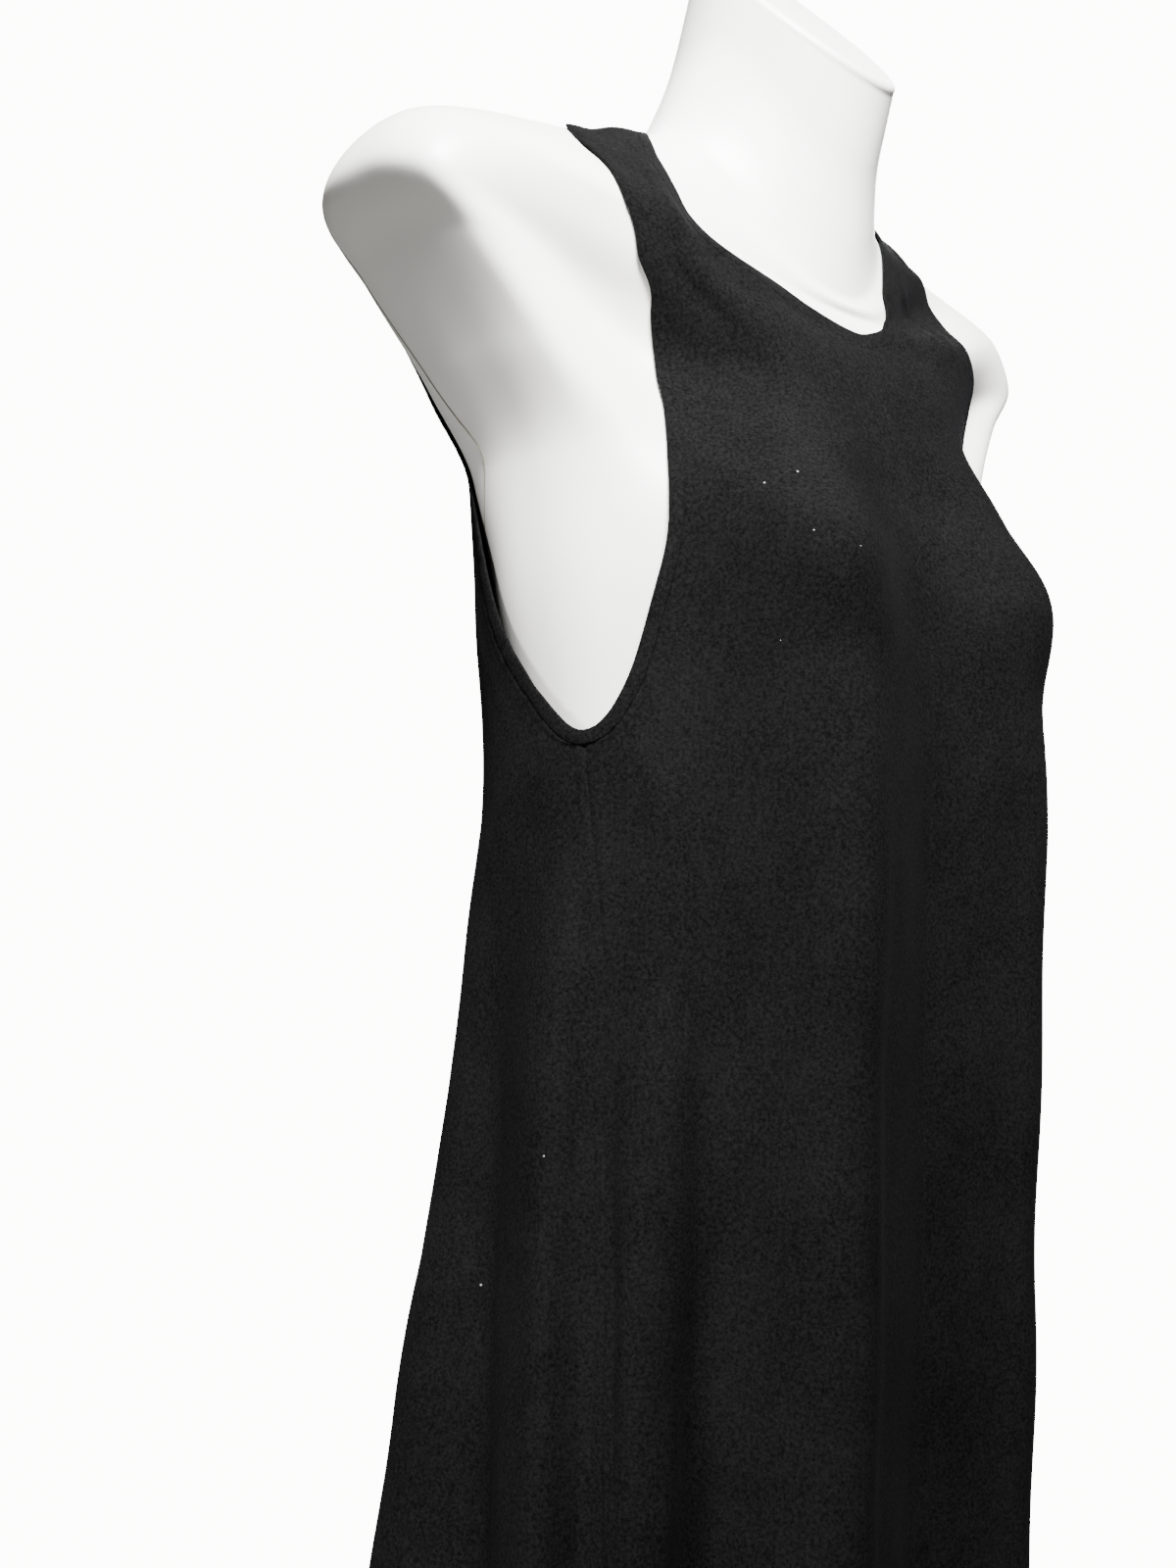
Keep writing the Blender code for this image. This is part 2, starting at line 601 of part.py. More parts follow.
def paint(name, colour, roughness, metallic=0.0):
    material = bpy.data.materials.new(name)
    material.use_nodes = True
    shader = material.node_tree.nodes["Principled BSDF"]
    shader.inputs["Base Color"].default_value = (*colour, 1)
    shader.inputs["Roughness"].default_value = roughness
    shader.inputs["Metallic"].default_value = metallic
    return material


def main():
    jersey = paint("black jersey", (0.018, 0.018, 0.020), 0.9)
    plastic = paint("satin white plastic", (0.80, 0.79, 0.77), 0.4)
    metal = paint("brushed steel", (0.55, 0.55, 0.56), 0.35, 1.0)
    half_front("front_right", -1, jersey)
    half_front("front_left", 1, jersey)
    back_panel(jersey)
    band("neck_band", neck_loop(), -1, jersey)
    band("armhole_band_right", armhole_loop(-1), -1, jersey)
    band("armhole_band_left", armhole_loop(1), 1, jersey)
    dress_form(plastic)
    stand(metal)


clear_scene()
DRESS_PARTS = bpy.data.collections.new("trapeze_dress")
bpy.context.scene.collection.children.link(DRESS_PARTS)
main()
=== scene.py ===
# Black jersey trapeze dress on a white limbless dress form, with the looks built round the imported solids.
# Row frame, metres, +Z up: the dress faces -Y and the wearer's right is -X. The floor is z = 0.
# The cloth and the form are lofts through rings, by the same named values as their solids.
# Angle 0 is the centre front, -90 the wearer's right side and 180 the centre back.

import math

import bpy
import numpy as np
from mathutils import Matrix, Vector


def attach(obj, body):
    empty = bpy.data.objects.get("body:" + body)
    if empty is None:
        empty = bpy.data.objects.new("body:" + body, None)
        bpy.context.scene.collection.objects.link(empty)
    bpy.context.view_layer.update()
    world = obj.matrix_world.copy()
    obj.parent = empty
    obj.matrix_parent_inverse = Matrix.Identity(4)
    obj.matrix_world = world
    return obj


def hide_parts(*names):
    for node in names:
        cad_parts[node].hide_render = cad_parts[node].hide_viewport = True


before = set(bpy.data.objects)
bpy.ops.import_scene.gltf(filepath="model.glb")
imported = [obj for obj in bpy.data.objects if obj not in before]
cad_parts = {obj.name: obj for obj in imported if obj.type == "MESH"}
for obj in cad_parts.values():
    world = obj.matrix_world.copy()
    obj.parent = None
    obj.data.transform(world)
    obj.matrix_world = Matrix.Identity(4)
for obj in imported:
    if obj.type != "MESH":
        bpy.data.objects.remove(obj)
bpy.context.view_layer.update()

# Driving dimensions
SHOULDER_HEIGHT = 1.360  # floor to the top of the shoulder, beside the neck
DRESS_LENGTH = 0.930  # top of the shoulder to the hem
FORM_LENGTH = 0.620  # top of the shoulder to the flat bottom of the form
WALL = 0.0010  # jersey
SEAM_GAP = -0.0004  # at a seam the pieces run this far under each other
WELD = 0.00001
COVER = 0.0021  # the jersey's outer face over the form, where it lies on it
BAND_WIDTH = 0.007  # neck and armhole bands

POLE_RADIUS = 0.0125
PLATE_RADIUS = 0.150
PLATE_THICKNESS = 0.008
COLLAR_RADIUS = 0.032
COLLAR_HEIGHT = 0.022

PANEL_COLUMNS = 72  # from the centre to the side seam
SKIRT_ROWS = 150  # hem to underarm
YOKE_ROWS = 141  # underarm to shoulder seam
NECK_ROWS_FRONT = 61  # of those, the rows that end on the neckline
NECK_ROWS_BACK = 45
EDGE_SAMPLES = 1200
SLOPE_TURN, SLOPE_RISE = 0.05, 0.0002  # degrees and metres to each side, over which a slope is measured
FORM_COLUMNS = 180
FORM_ROWS = 260

ARMHOLE_LOW = -0.322
SEAM_ANGLE_TOP, SEAM_ANGLE_HEM, SEAM_EASE = 74.0, 52.0, 0.12

# Rings of the form. A ring's level is its distance run up the side profile, which is its side height up to
# the shoulder's tip. Its heights at the side, the front and the back are from the top of the shoulder.
RING_COLUMNS = (
    "side_z", "front_z", "back_z", "half_width", "front", "back",
    "centre_y", "front_power", "back_power", "turn",
)
FORM_RINGS_TABLE = (
    ("base", -0.620, -0.620, -0.620, -0.620, 0.138, 0.082, 0.092, 0.000, 2.1, 2.2, 0),
    ("hip", -0.560, -0.560, -0.560, -0.560, 0.142, 0.086, 0.094, 0.000, 2.1, 2.2, 0),
    ("high hip", -0.480, -0.480, -0.480, -0.480, 0.134, 0.084, 0.086, 0.000, 2.0, 2.2, 0),
    ("waist", -0.400, -0.400, -0.400, -0.400, 0.120, 0.080, 0.072, 0.000, 2.0, 2.2, 0),
    ("under bust", -0.320, -0.320, -0.320, -0.320, 0.134, 0.086, 0.078, 0.000, 2.0, 2.4, -1),
    ("bust", -0.245, -0.245, -0.245, -0.245, 0.148, 0.097, 0.082, 0.000, 2.0, 2.6, -2),
    ("armpit", -0.190, -0.190, -0.192, -0.188, 0.152, 0.098, 0.088, 0.004, 2.1, 3.0, -2),
    ("arm stub", -0.140, -0.140, -0.156, -0.144, 0.174, 0.100, 0.088, 0.016, 2.3, 3.2, -2),
    ("tip low", -0.092, -0.092, -0.126, -0.100, 0.205, 0.106, 0.086, 0.032, 2.5, 3.2, -2),
    ("tip", -0.060, -0.060, -0.109, -0.074, 0.231, 0.103, 0.084, 0.038, 2.4, 3.0, -2),
    ("cap", -0.024, -0.030, -0.100, -0.0415, 0.211, 0.097, 0.068, 0.036, 2.3, 2.6, -2),
    ("slope", 0.018, -0.0205, -0.095, -0.0230, 0.170, 0.088, 0.0525, 0.030, 2.1, 2.2, -2),
    ("shoulder", 0.076, -0.0165, -0.090, -0.016, 0.112, 0.074, 0.051, 0.015, 2.0, 2.1, -2),
    ("neck base", 0.116, -0.005, -0.083, -0.002, 0.074, 0.063, 0.048, 0.006, 2.0, 2.0, -2),
    ("neck low", 0.144, 0.020, -0.060, 0.026, 0.061, 0.058, 0.048, -0.002, 2.0, 2.0, -2),
    ("neck", 0.175, 0.050, -0.020, 0.070, 0.054, 0.053, 0.052, -0.014, 2.0, 2.0, -2),
    ("neck top", 0.215, 0.090, 0.040, 0.135, 0.053, 0.053, 0.053, -0.030, 2.0, 2.0, -2),
    ("neck end", 0.255, 0.130, 0.090, 0.180, 0.053, 0.053, 0.053, -0.044, 2.0, 2.0, -2),
)
NECK_CUT_FRONT = (0.0, -0.078, 0.024)  # a point of the sloping cut, and its slope up to the back
NECK_CUT_SLOPE = math.radians(46)
NECK_RIM = 0.004

# Swellings, out of the rings. Columns: angle, level, how far out, half spans in degrees and in level.
SWELLINGS = (
    ("right bust", -27, -0.240, 0.026, 24, 0.085),
    ("left bust", 27, -0.240, 0.026, 24, 0.085),
    ("right bust point", -27, -0.244, 0.008, 17, 0.050),
    ("left bust point", 27, -0.244, 0.008, 17, 0.050),
    ("right armpit hollow", -43, -0.108, -0.035, 29, 0.120),
    ("left armpit hollow", 43, -0.108, -0.035, 29, 0.120),
    ("left hollow bridged", 43, -0.108, -0.022, 29, 0.120),
    ("left collar bone hollow", 41, 0.030, -0.014, 32, 0.075),
)
FORM_SWELLINGS = (
    "right bust", "left bust", "right armpit hollow", "left armpit hollow", "left collar bone hollow",
)
CLOTH_SWELLINGS = (
    "right bust point", "left bust point", "right armpit hollow", "left hollow bridged",
    "left collar bone hollow",
)

# Rings of the cloth below the armpit. Above it the cloth follows the form's rings.
CLOTH_RINGS_TABLE = (
    ("hem", -0.930, -0.930, -0.930, -0.930, 0.191, 0.104, 0.156, 0.010, 1.9, 2.2, 0),
    ("thigh", -0.740, -0.740, -0.740, -0.740, 0.168, 0.103, 0.136, 0.008, 1.9, 2.2, 0),
    ("hip", -0.560, -0.560, -0.560, -0.560, 0.156, 0.104, 0.111, 0.004, 1.9, 2.3, 0),
    ("waist", -0.420, -0.420, -0.420, -0.420, 0.149, 0.106, 0.092, 0.002, 1.9, 2.5, 0),
    ("underarm", -0.322, -0.322, -0.322, -0.322, 0.149, 0.110, 0.087, 0.000, 1.9, 2.6, -1),
    ("bust", -0.250, -0.250, -0.250, -0.250, 0.151, 0.108, 0.087, 0.000, 1.9, 2.8, -2),
)
FOLLOWS_FROM = "armpit"

# Hanging folds. Columns: angle at the top and at the hem, level where the fold starts and where it is full,
# depth there and at the hem (a trough is negative), half width towards the front and the back in degrees.
FOLDS = (
    ("right bust", -27, -20, -0.120, -0.238, 0.026, 0.022, 27, 28),
    ("right front trough", -40, -39, -0.330, -0.500, -0.007, -0.024, 13, 13),
    ("right side ridge", -60, -53, -0.340, -0.520, 0.006, 0.012, 12, 9),
    ("right back edge ridge", -80, -66, -0.360, -0.480, 0.008, 0.018, 7, 15),
    ("right back trough", -104, -90, -0.340, -0.520, -0.008, -0.018, 16, 16),
    ("right back ridge", -126, -116, -0.330, -0.560, 0.008, 0.018, 18, 16),
    ("right blade trough", -146, -139, -0.300, -0.520, -0.006, -0.020, 15, 14),
    ("right centre ridge", -166, -160, -0.280, -0.500, 0.007, 0.018, 16, 15),
    ("centre back trough", 178, 179, -0.300, -0.560, -0.006, -0.016, 15, 15),
    ("left centre ridge", 160, 157, -0.290, -0.520, 0.008, 0.022, 15, 15),
    ("left blade trough", 141, 135, -0.310, -0.540, -0.006, -0.018, 14, 14),
    ("left back ridge", 122, 113, -0.330, -0.520, 0.009, 0.024, 15, 17),
    ("left back trough", 102, 92, -0.340, -0.540, -0.008, -0.020, 15, 15),
    ("left side ridge", 83, 72, -0.350, -0.500, 0.008, 0.016, 12, 14),
    ("left front trough", 45, 44, -0.330, -0.520, -0.008, -0.020, 15, 16),
    ("left bust", 27, 20, -0.120, -0.238, 0.024, 0.016, 27, 24),
)

# Garment edges. Columns: angle, level.
NECKLINE = (
    ("right back", -130, 0.118),
    ("right shoulder", -90, 0.109),
    ("right strap", -68, 0.086),
    ("right collar bone", -46, 0.051),
    ("right front", -28, 0.003),
    ("right curve", -17, -0.015),
    ("right of centre", -8, -0.043),
    ("centre front", 0, -0.054),
    ("left of centre", 5, -0.034),
    ("left curve", 14, 0.045),
    ("left front", 29, 0.103),
    ("left neck side", 44, 0.113),
    ("left shoulder", 90, 0.111),
    ("left back", 130, 0.118),
    ("centre back", 180, 0.121),
)
RIGHT_ARMHOLE = (
    ("shoulder", -90, 0.064),
    ("front strap", -72, 0.042),
    ("front shoulder", -58, 0.0215),
    ("strap edge", -52, 0.0145),
    ("collar bone", -46, 0.002),
    ("upper chest", -39, -0.0195),
    ("high chest", -33.6, -0.046),
    ("over the chest", -32.2, -0.073),
    ("chest", -35, -0.098),
    ("middle chest", -39, -0.124),
    ("low chest", -46, -0.155),
    ("front", -51.5, -0.180),
    ("front bust", -53.5, -0.208),
    ("front low", -57, -0.242),
    ("underarm front", -66, -0.299),
    ("underarm", -76, -0.322),
    ("underarm back", -88, -0.303),
    ("back low", -108.5, -0.254),
    ("back", -128, -0.170),
    ("shoulder blade", -137, -0.095),
    ("back shoulder", -131, -0.028),
    ("back strap", -112, 0.034),
)
LEFT_ARMHOLE = (
    ("shoulder", 90, 0.074),
    ("front strap", 66, 0.054),
    ("front shoulder", 55, 0.036),
    ("strap edge", 47, 0.015),
    ("collar bone", 37, -0.007),
    ("upper chest", 31, -0.038),
    ("high chest", 32, -0.075),
    ("chest", 40, -0.120),
    ("low chest", 48, -0.157),
    ("front", 52, -0.182),
    ("front bust", 54, -0.208),
    ("front low", 57.5, -0.242),
    ("underarm front", 66, -0.299),
    ("underarm", 76, -0.322),
    ("underarm back", 88, -0.303),
    ("back low", 108.5, -0.254),
    ("back", 128, -0.170),
    ("shoulder blade", 137, -0.095),
    ("back shoulder", 130, -0.020),
    ("back strap", 111, 0.046),
)

# Fine creases of the cloth, soft and uneven. Columns: the places (angle, level) of the start, the middle and
# the end, half widths in metres to each side of the way along it, and height (a trough is negative).
CREASES = (
    ("right strap, by the neck", (-56, 0.060), (-31, -0.018), (-21.7, -0.112), 0.013, 0.009, 0.0028),
    ("right strap, hollow", (-55, 0.040), (-33.5, -0.030), (-27, -0.106), 0.008, 0.011, -0.0008),
    ("right strap, arch", (-62, 0.070), (-90, 0.088), (-118, 0.076), 0.020, 0.020, 0.0030),
    ("left strap, outer edge", (44, 0.088), (32, 0.012), (21, -0.050), 0.005, 0.010, 0.0020),
    ("left strap, arch", (62, 0.080), (90, 0.092), (118, 0.082), 0.018, 0.018, 0.0026),
    ("left strap, by the neck", (50, 0.082), (27, 0.010), (15, -0.080), 0.010, 0.014, 0.0016),
    ("right bust drag", (-31, -0.236), (-42, -0.205), (-50, -0.172), 0.010, 0.014, 0.0010),
    ("left bust drag", (30, -0.238), (41, -0.210), (50, -0.176), 0.014, 0.010, 0.0012),
    ("right underarm, front", (-66, -0.318), (-60, -0.352), (-53, -0.410), 0.012, 0.010, 0.0014),
    ("left underarm, front", (66, -0.320), (60, -0.360), (52, -0.420), 0.010, 0.013, 0.0016),
    ("right underarm, back", (-90, -0.318), (-101, -0.346), (-116, -0.400), 0.012, 0.016, 0.0018),
    ("left underarm, back", (89, -0.318), (103, -0.350), (120, -0.412), 0.016, 0.012, 0.0016),
    ("right side seam, tuck", (-70, -0.420), (-64, -0.550), (-58, -0.700), 0.006, 0.005, -0.0014),
    ("left side seam, tuck", (71, -0.400), (65, -0.540), (58, -0.720), 0.005, 0.007, -0.0014),
    ("right blade", (-136, -0.140), (-129, -0.215), (-116, -0.300), 0.014, 0.018, 0.0016),
    ("left blade", (137, -0.150), (128, -0.225), (118, -0.290), 0.018, 0.013, 0.0014),
    ("right back neck", (-163, 0.085), (-158, 0.000), (-155, -0.110), 0.014, 0.018, 0.0014),
    ("left back neck", (165, 0.090), (161, 0.010), (154, -0.100), 0.017, 0.014, 0.0012),
    ("right back shoulder", (-126, 0.070), (-138, 0.020), (-147, -0.060), 0.012, 0.016, 0.0012),
    ("left back shoulder", (127, 0.074), (139, 0.016), (149, -0.066), 0.016, 0.012, 0.0012),
    ("centre back, hollow", (176, -0.260), (-179, -0.380), (178, -0.500), 0.018, 0.014, -0.0020),
    ("right side, ridge", (-57, -0.340), (-54.5, -0.580), (-51, -0.860), 0.022, 0.024, 0.0060),
    ("right bust, fall", (-26, -0.280), (-23.5, -0.500), (-21, -0.840), 0.022, 0.034, 0.0060),
    ("left side, ridge", (73, -0.370), (70, -0.570), (66, -0.860), 0.024, 0.020, 0.0045),
    ("left bust, fall", (26, -0.300), (23.5, -0.500), (21, -0.820), 0.030, 0.022, 0.0050),
    ("right back, ridge", (-121, -0.360), (-119, -0.560), (-116, -0.840), 0.024, 0.022, 0.0045),
    ("left back, ridge", (119, -0.370), (116, -0.580), (113, -0.820), 0.022, 0.024, 0.0040),
    ("right of centre back", (-164, -0.330), (-162, -0.540), (-160, -0.840), 0.024, 0.020, 0.0040),
    ("left of centre back", (160, -0.340), (158, -0.560), (157, -0.850), 0.020, 0.026, 0.0044),
)
# Slanting waves. Columns: turns round the skirt, radians for each metre up, start, depth.
WAVES = (
    (3.0, 41.0, 0.3, 0.0007),
    (7.0, -23.0, 1.9, 0.0006),
    (11.0, 17.0, 4.1, 0.0004),
    (17.0, -59.0, 2.6, 0.0003),
)

# Relief, sections and edges
HEM_DEPTH = 0.020
STITCH_PITCH = 0.0032
STITCH_ROWS_APART = 0.006
STITCH_HALF_SIZES = (0.38 * STITCH_PITCH, 0.00028, 0.00022)  # along, up and out
STITCH_SINK = 0.00035
HEM_SAMPLES = 3601
LINT_SINK = 0.0001
LINT_SIZES = (0.6, 1.4)  # least and most, of the size in the table
LINT_FLATNESS = 0.6
CREASE_SAMPLES = 40
CREST_SHARE = 0.18
CREST_WIDTH = 0.40
CREST_TOP = 0.3  # at a fold's start, how far the crest's depth goes from the one at the hem to the one there
CREST_START = 6  # the crest is whole after a sixth of the fold's length
WAVES_FROM, WAVES_RUN, WAVES_LEAST = -0.20, 0.25, 0.20  # level, run down to their full height, share above
END_SPREAD = 0.85  # how far a panel's columns draw together at both ends, of 1
CREASE_TAPER = 0.7  # power of the sine along a crease
# Room for troughs at these levels: below the form, over its hanging part, and where the cloth lies on it.
ROOM_LEVELS = (-0.72, -0.64, -0.21, -0.19)
ROOM_UNDER = (0.0100, 0.0010, 0.0010, 0.0008)
NECK_SHARE = 0.14  # how plainly the neck band shows, of 1
FAINT_ABOVE, FAINT_RUN, FAINT_SHARE = -0.150, 0.10, 0.12  # armhole bands above this level hardly show
SIDE_SEAM_SHARE = 0.8  # how plainly these seams show
CENTRE_SEAM_SHARE = 0.5
SHOULDER_SEAM_SHARE = 0.4
SEAM_SINK, SEAM_SINK_WIDTH = 0.0004, 0.0009
ALLOWANCE_RISE, ALLOWANCE_AT, ALLOWANCE_WIDTH = 0.0003, 0.0032, 0.0022
HEM_SINK, HEM_SINK_WIDTH = 0.0003, 0.0012
SEAM_BUMP, SEAM_BUMP_WIDTH = 0.0010, 0.004
BAND_CORNERS = 20  # round its section
BAND_RISE = 0.0007
BAND_LEAST_RISE = 0.3  # of BAND_RISE, where the band hardly shows
BAND_TOP_POWER, BAND_UNDER_POWER = 0.8, 0.12  # of the sine round the section: round above, flat beneath
PUCKER_CYCLES = (37, 53, 71, 97)
PUCKER_SWELL, PUCKER_LIFT = 0.35, 0.00012  # share of the band's rise, and metres
NECK_DOME = 0.0015
NECK_LOW = 0.12  # level from which the form's rings run up to the sloping cut
BOTTOM_ROUND = 0.004
PROFILE_SAMPLES = 400
NECK_RINGS, RIM_RINGS, CAP_RINGS, BOTTOM_RINGS = 60, 9, 14, 7
HALVINGS = 40  # steps of the search for the cut
PLATE_EDGE, COLLAR_EDGE = 0.0018, 0.002  # radii of the rounded corners
POLE_TOP_RADIUS = 0.001  # the last ring of the pole's top, which a fan closes
# Dark line of painted shade along the form's back edges: its radius and samples.
SHADED_EDGE_RADIUS = 0.00045
SHADED_EDGE_SAMPLES = 121
JERSEY_DARK = "#030303"
JERSEY_LIGHT = "#111111"
RIB_PITCH = 0.013823  # between the soft slanting ribs, far broader than real knitted wales
WAVE_TEXTURE_TURNS = 20  # radians of the wave texture for each unit of place, at a scale of 1
CUT_POINT = np.array(NECK_CUT_FRONT)
CUT_NORMAL = np.array([0, -math.sin(NECK_CUT_SLOPE), math.cos(NECK_CUT_SLOPE)])

# Lint on the nap. Columns: angle, level, size in metres.
LINT = (
    (-30.7, -0.2045, 0.0007),
    (-36.7, -0.2115, 0.0005),
    (-32.0, -0.2353, 0.0005),
    (-25.3, -0.2409, 0.0004),
    (-37.0, -0.2836, 0.0004),
    (-79.3, -0.5113, 0.0006),
    (-106.0, -0.5695, 0.0006),
    (31.0, -0.3300, 0.0005),
    (62.0, -0.5200, 0.0005),
    (118.0, -0.2600, 0.0004),
    (152.0, -0.4400, 0.0006),
    (-148.0, -0.3500, 0.0005),
    (-171.0, -0.7100, 0.0005),
)
# Painted shade: a dark line down the back edge of the form's right shoulder, mirrored on the left. Columns:
# angle, level.
SHADED_EDGE = (
    (-118.0, -0.058),
    (-124.0, -0.072),
    (-122.5, -0.1126),
    (-117.0, -0.158),
    (-111.5, -0.182),
    (-114.3, -0.198),
    (-118.7, -0.211),
    (-125.0, -0.223),
)
CAMERA_PLACE = Vector((-0.8648, -0.7212, 0.862))
CAMERA_TURN = (46.0, 8.6, -1.2)  # azimuth, pitch and roll in degrees
CAMERA_LENS, CAMERA_FRAME = 52.0, 36.0  # millimetres, the frame by its height
FLOOR_RADIUS, FLOOR_CORNERS = 2.4, 96
WORLD_LIGHT, WORLD_SEEN = 0.12, 13.0  # strength of the studio's light, and as the camera sees it
# Lamps. Columns: name, place, aim, size, watts, spread in degrees.
LAMPS = (
    ("key light", (-0.76, -0.96, 2.42), (-0.05, -0.04, 1.38), 0.6, 29, 50),
    ("side light", (-1.75, -0.26, 1.05), (-0.05, -0.02, 0.74), 0.4, 2.2, 32),
    ("back light", (1.45, 1.15, 2.05), (0.0, 0.0, 0.95), 0.9, 40, 110),
)


def smooth_through(places, values, at):
    """Cubic curve through values at increasing places, with no overshoot (a monotone Hermite spline)."""
    x = np.asarray(places, float)
    y = np.asarray(values, float)
    step = np.diff(x)
    slope = np.diff(y) / step
    tangent = np.zeros_like(y)
    same = slope[1:] * slope[:-1] > 0
    inner = np.zeros(len(y) - 2)
    inner[same] = 2 * slope[1:][same] * slope[:-1][same] / (slope[1:][same] + slope[:-1][same])
    tangent[1:-1] = inner
    tangent[0] = slope[0]
    tangent[-1] = slope[-1]
    at = np.clip(at, x[0], x[-1])
    cell = np.clip(np.searchsorted(x, at, side="right") - 1, 0, len(x) - 2)
    t = (at - x[cell]) / step[cell]
    a = y[cell] * (1 + 2 * t) * (1 - t) ** 2 + tangent[cell] * step[cell] * t * (1 - t) ** 2
    b = y[cell + 1] * t * t * (3 - 2 * t) - tangent[cell + 1] * step[cell] * t * t * (1 - t)
    return a + b


def ring_sizes(table, level):
    """The ring's columns at this level, read from the table by smooth curves."""
    rows = np.array([row[1:] for row in table], float)
    return {
        name: smooth_through(rows[:, 0], rows[:, index + 1], level)
        for index, name in enumerate(RING_COLUMNS)
    }


def turned_by(points, degrees):
    """Points turned about the vertical axis, seen from above against the clock."""
    s = np.sin(np.radians(degrees))
    c = np.cos(np.radians(degrees))
    x, y, z = np.moveaxis(points, -1, 0)
    return np.stack([x * c - y * s, x * s + y * c, z], -1)


def ring_points(table, angle, level):
    """Points of the loft at an angle in degrees and a level."""
    angle, level = np.broadcast_arrays(np.asarray(angle, float), np.asarray(level, float))
    ring = ring_sizes(table, level)
    s = np.sin(np.radians(angle))
    c = np.cos(np.radians(angle))
    ahead = c > 0
    power = np.where(ahead, ring["front_power"], ring["back_power"])
    bulge = (np.abs(s) ** power + np.abs(c) ** power) ** (-1 / power)
    depth = np.where(ahead, ring["front"], ring["back"])
    x = ring["half_width"] * s * bulge
    y = ring["centre_y"] - depth * c * bulge
    z = ring["side_z"] + (np.where(ahead, ring["front_z"], ring["back_z"]) - ring["side_z"]) * c * c
    return turned_by(np.stack([x, y, z], -1), ring["turn"])


def cloth_table():
    """The cloth's own rings, then the form's rings, over which it lies."""
    names = [row[0] for row in FORM_RINGS_TABLE]
    return CLOTH_RINGS_TABLE + FORM_RINGS_TABLE[names.index(FOLLOWS_FROM):]


CLOTH_TABLE = cloth_table()


def hump(offset, width_low, width_high):
    """1 at offset 0, falling to 0 with level ends at each width, where the two sides may differ."""
    width = np.where(offset < 0, width_low, width_high)
    t = np.clip(np.abs(offset) / width, 0, 1)
    return np.cos(0.5 * np.pi * t) ** 2


def wrap(angle):
    return (angle + 180) % 360 - 180


def outward(angle, ring):
    """Level direction out of the ring."""
    s = np.sin(np.radians(angle)) * 0.5 * (ring["front"] + ring["back"])
    c = np.cos(np.radians(angle)) * ring["half_width"]
    return turned_by(np.stack([s, -c, np.zeros_like(s)], -1) / np.hypot(s, c)[..., None], ring["turn"])


def each_fold(angle, level):
    """For each fold: its two depths, how far it has set in, how far down it is, and the offset from its line
    with the widths to each side."""
    for _, top, hem, start, full, deep, deep_hem, front_width, back_width in FOLDS:
        fall = np.clip((start - level) / (start - full), 0, 1)
        along = np.clip((full - level) / (full + DRESS_LENGTH), 0, 1)
        offset = wrap(angle - (top + (hem - top) * along))
        low, high = (back_width, front_width) if top < 0 else (front_width, back_width)
        yield deep, deep_hem, fall, along, offset, low, high


def fold_depth(angle, level):
    """How far the folds move the cloth out at each place: a ridge is positive and a trough negative."""
    total = np.zeros(np.broadcast(angle, level).shape)
    for deep, deep_hem, fall, along, offset, low, high in each_fold(angle, level):
        grown = fall * fall * (3 - 2 * fall)
        total = total + (deep + (deep_hem - deep) * along) * grown * hump(offset, low, high)
    return total


def swelling(names, angle, level):
    """How far the named swellings move a surface out."""
    total = np.zeros(np.broadcast(angle, level).shape)
    for name, round_by, up, out, span_angle, span_up in SWELLINGS:
        if name in names:
            around = hump(wrap(angle - round_by), span_angle, span_angle)
            total = total + out * around * hump(level - up, span_up, span_up)
    return total


def moved_out(table, depth, names, angle, level):
    """Points of the loft, moved out by this depth and by the named swellings."""
    angle, level = np.broadcast_arrays(np.asarray(angle, float), np.asarray(level, float))
    out = depth + swelling(names, angle, level)
    return ring_points(table, angle, level) + out[..., None] * outward(angle, ring_sizes(table, level))


def body_points(angle, level):
    """The surface that the cloth covers: the form where it lies on it, and below that its own shape."""
    return moved_out(CLOTH_TABLE, fold_depth(angle, level), CLOTH_SWELLINGS, angle, level)


def form_points(angle, level):
    return moved_out(FORM_RINGS_TABLE, 0.0, FORM_SWELLINGS, angle, level)


def slopes(surface, angle, level):
    """Outward normal of a surface, with its slopes by angle and by level."""
    by_angle = (surface(angle + SLOPE_TURN, level) - surface(angle - SLOPE_TURN, level)) / (2 * SLOPE_TURN)
    by_level = (surface(angle, level + SLOPE_RISE) - surface(angle, level - SLOPE_RISE)) / (2 * SLOPE_RISE)
    normal = np.cross(by_angle, by_level)
    return normal / np.linalg.norm(normal, axis=-1, keepdims=True), by_angle, by_level


def cloth_points(angle, level, under=0.0):
    """Points of the cloth's outer face, or this far under it."""
    normal, _, _ = slopes(body_points, angle, level)
    return body_points(angle, level) + (COVER - under) * normal


def run_along(points, axis):
    """Distance run along one line, or along each line of a grid, from its first point."""
    step = np.linalg.norm(np.diff(points, axis=axis), axis=-1)
    first = np.zeros_like(np.take(step, [0], axis=axis))
    return np.concatenate([first, np.cumsum(step, axis=axis)], axis=axis)


def evenly(places, count):
    """This many places at even real distances along an edge given by its (angle, level) places."""
    run = run_along(cloth_points(places[:, 0], places[:, 1]), 0)
    at = np.linspace(0, run[-1], count)
    return np.stack([np.interp(at, run, places[:, k]) for k in (0, 1)], -1)


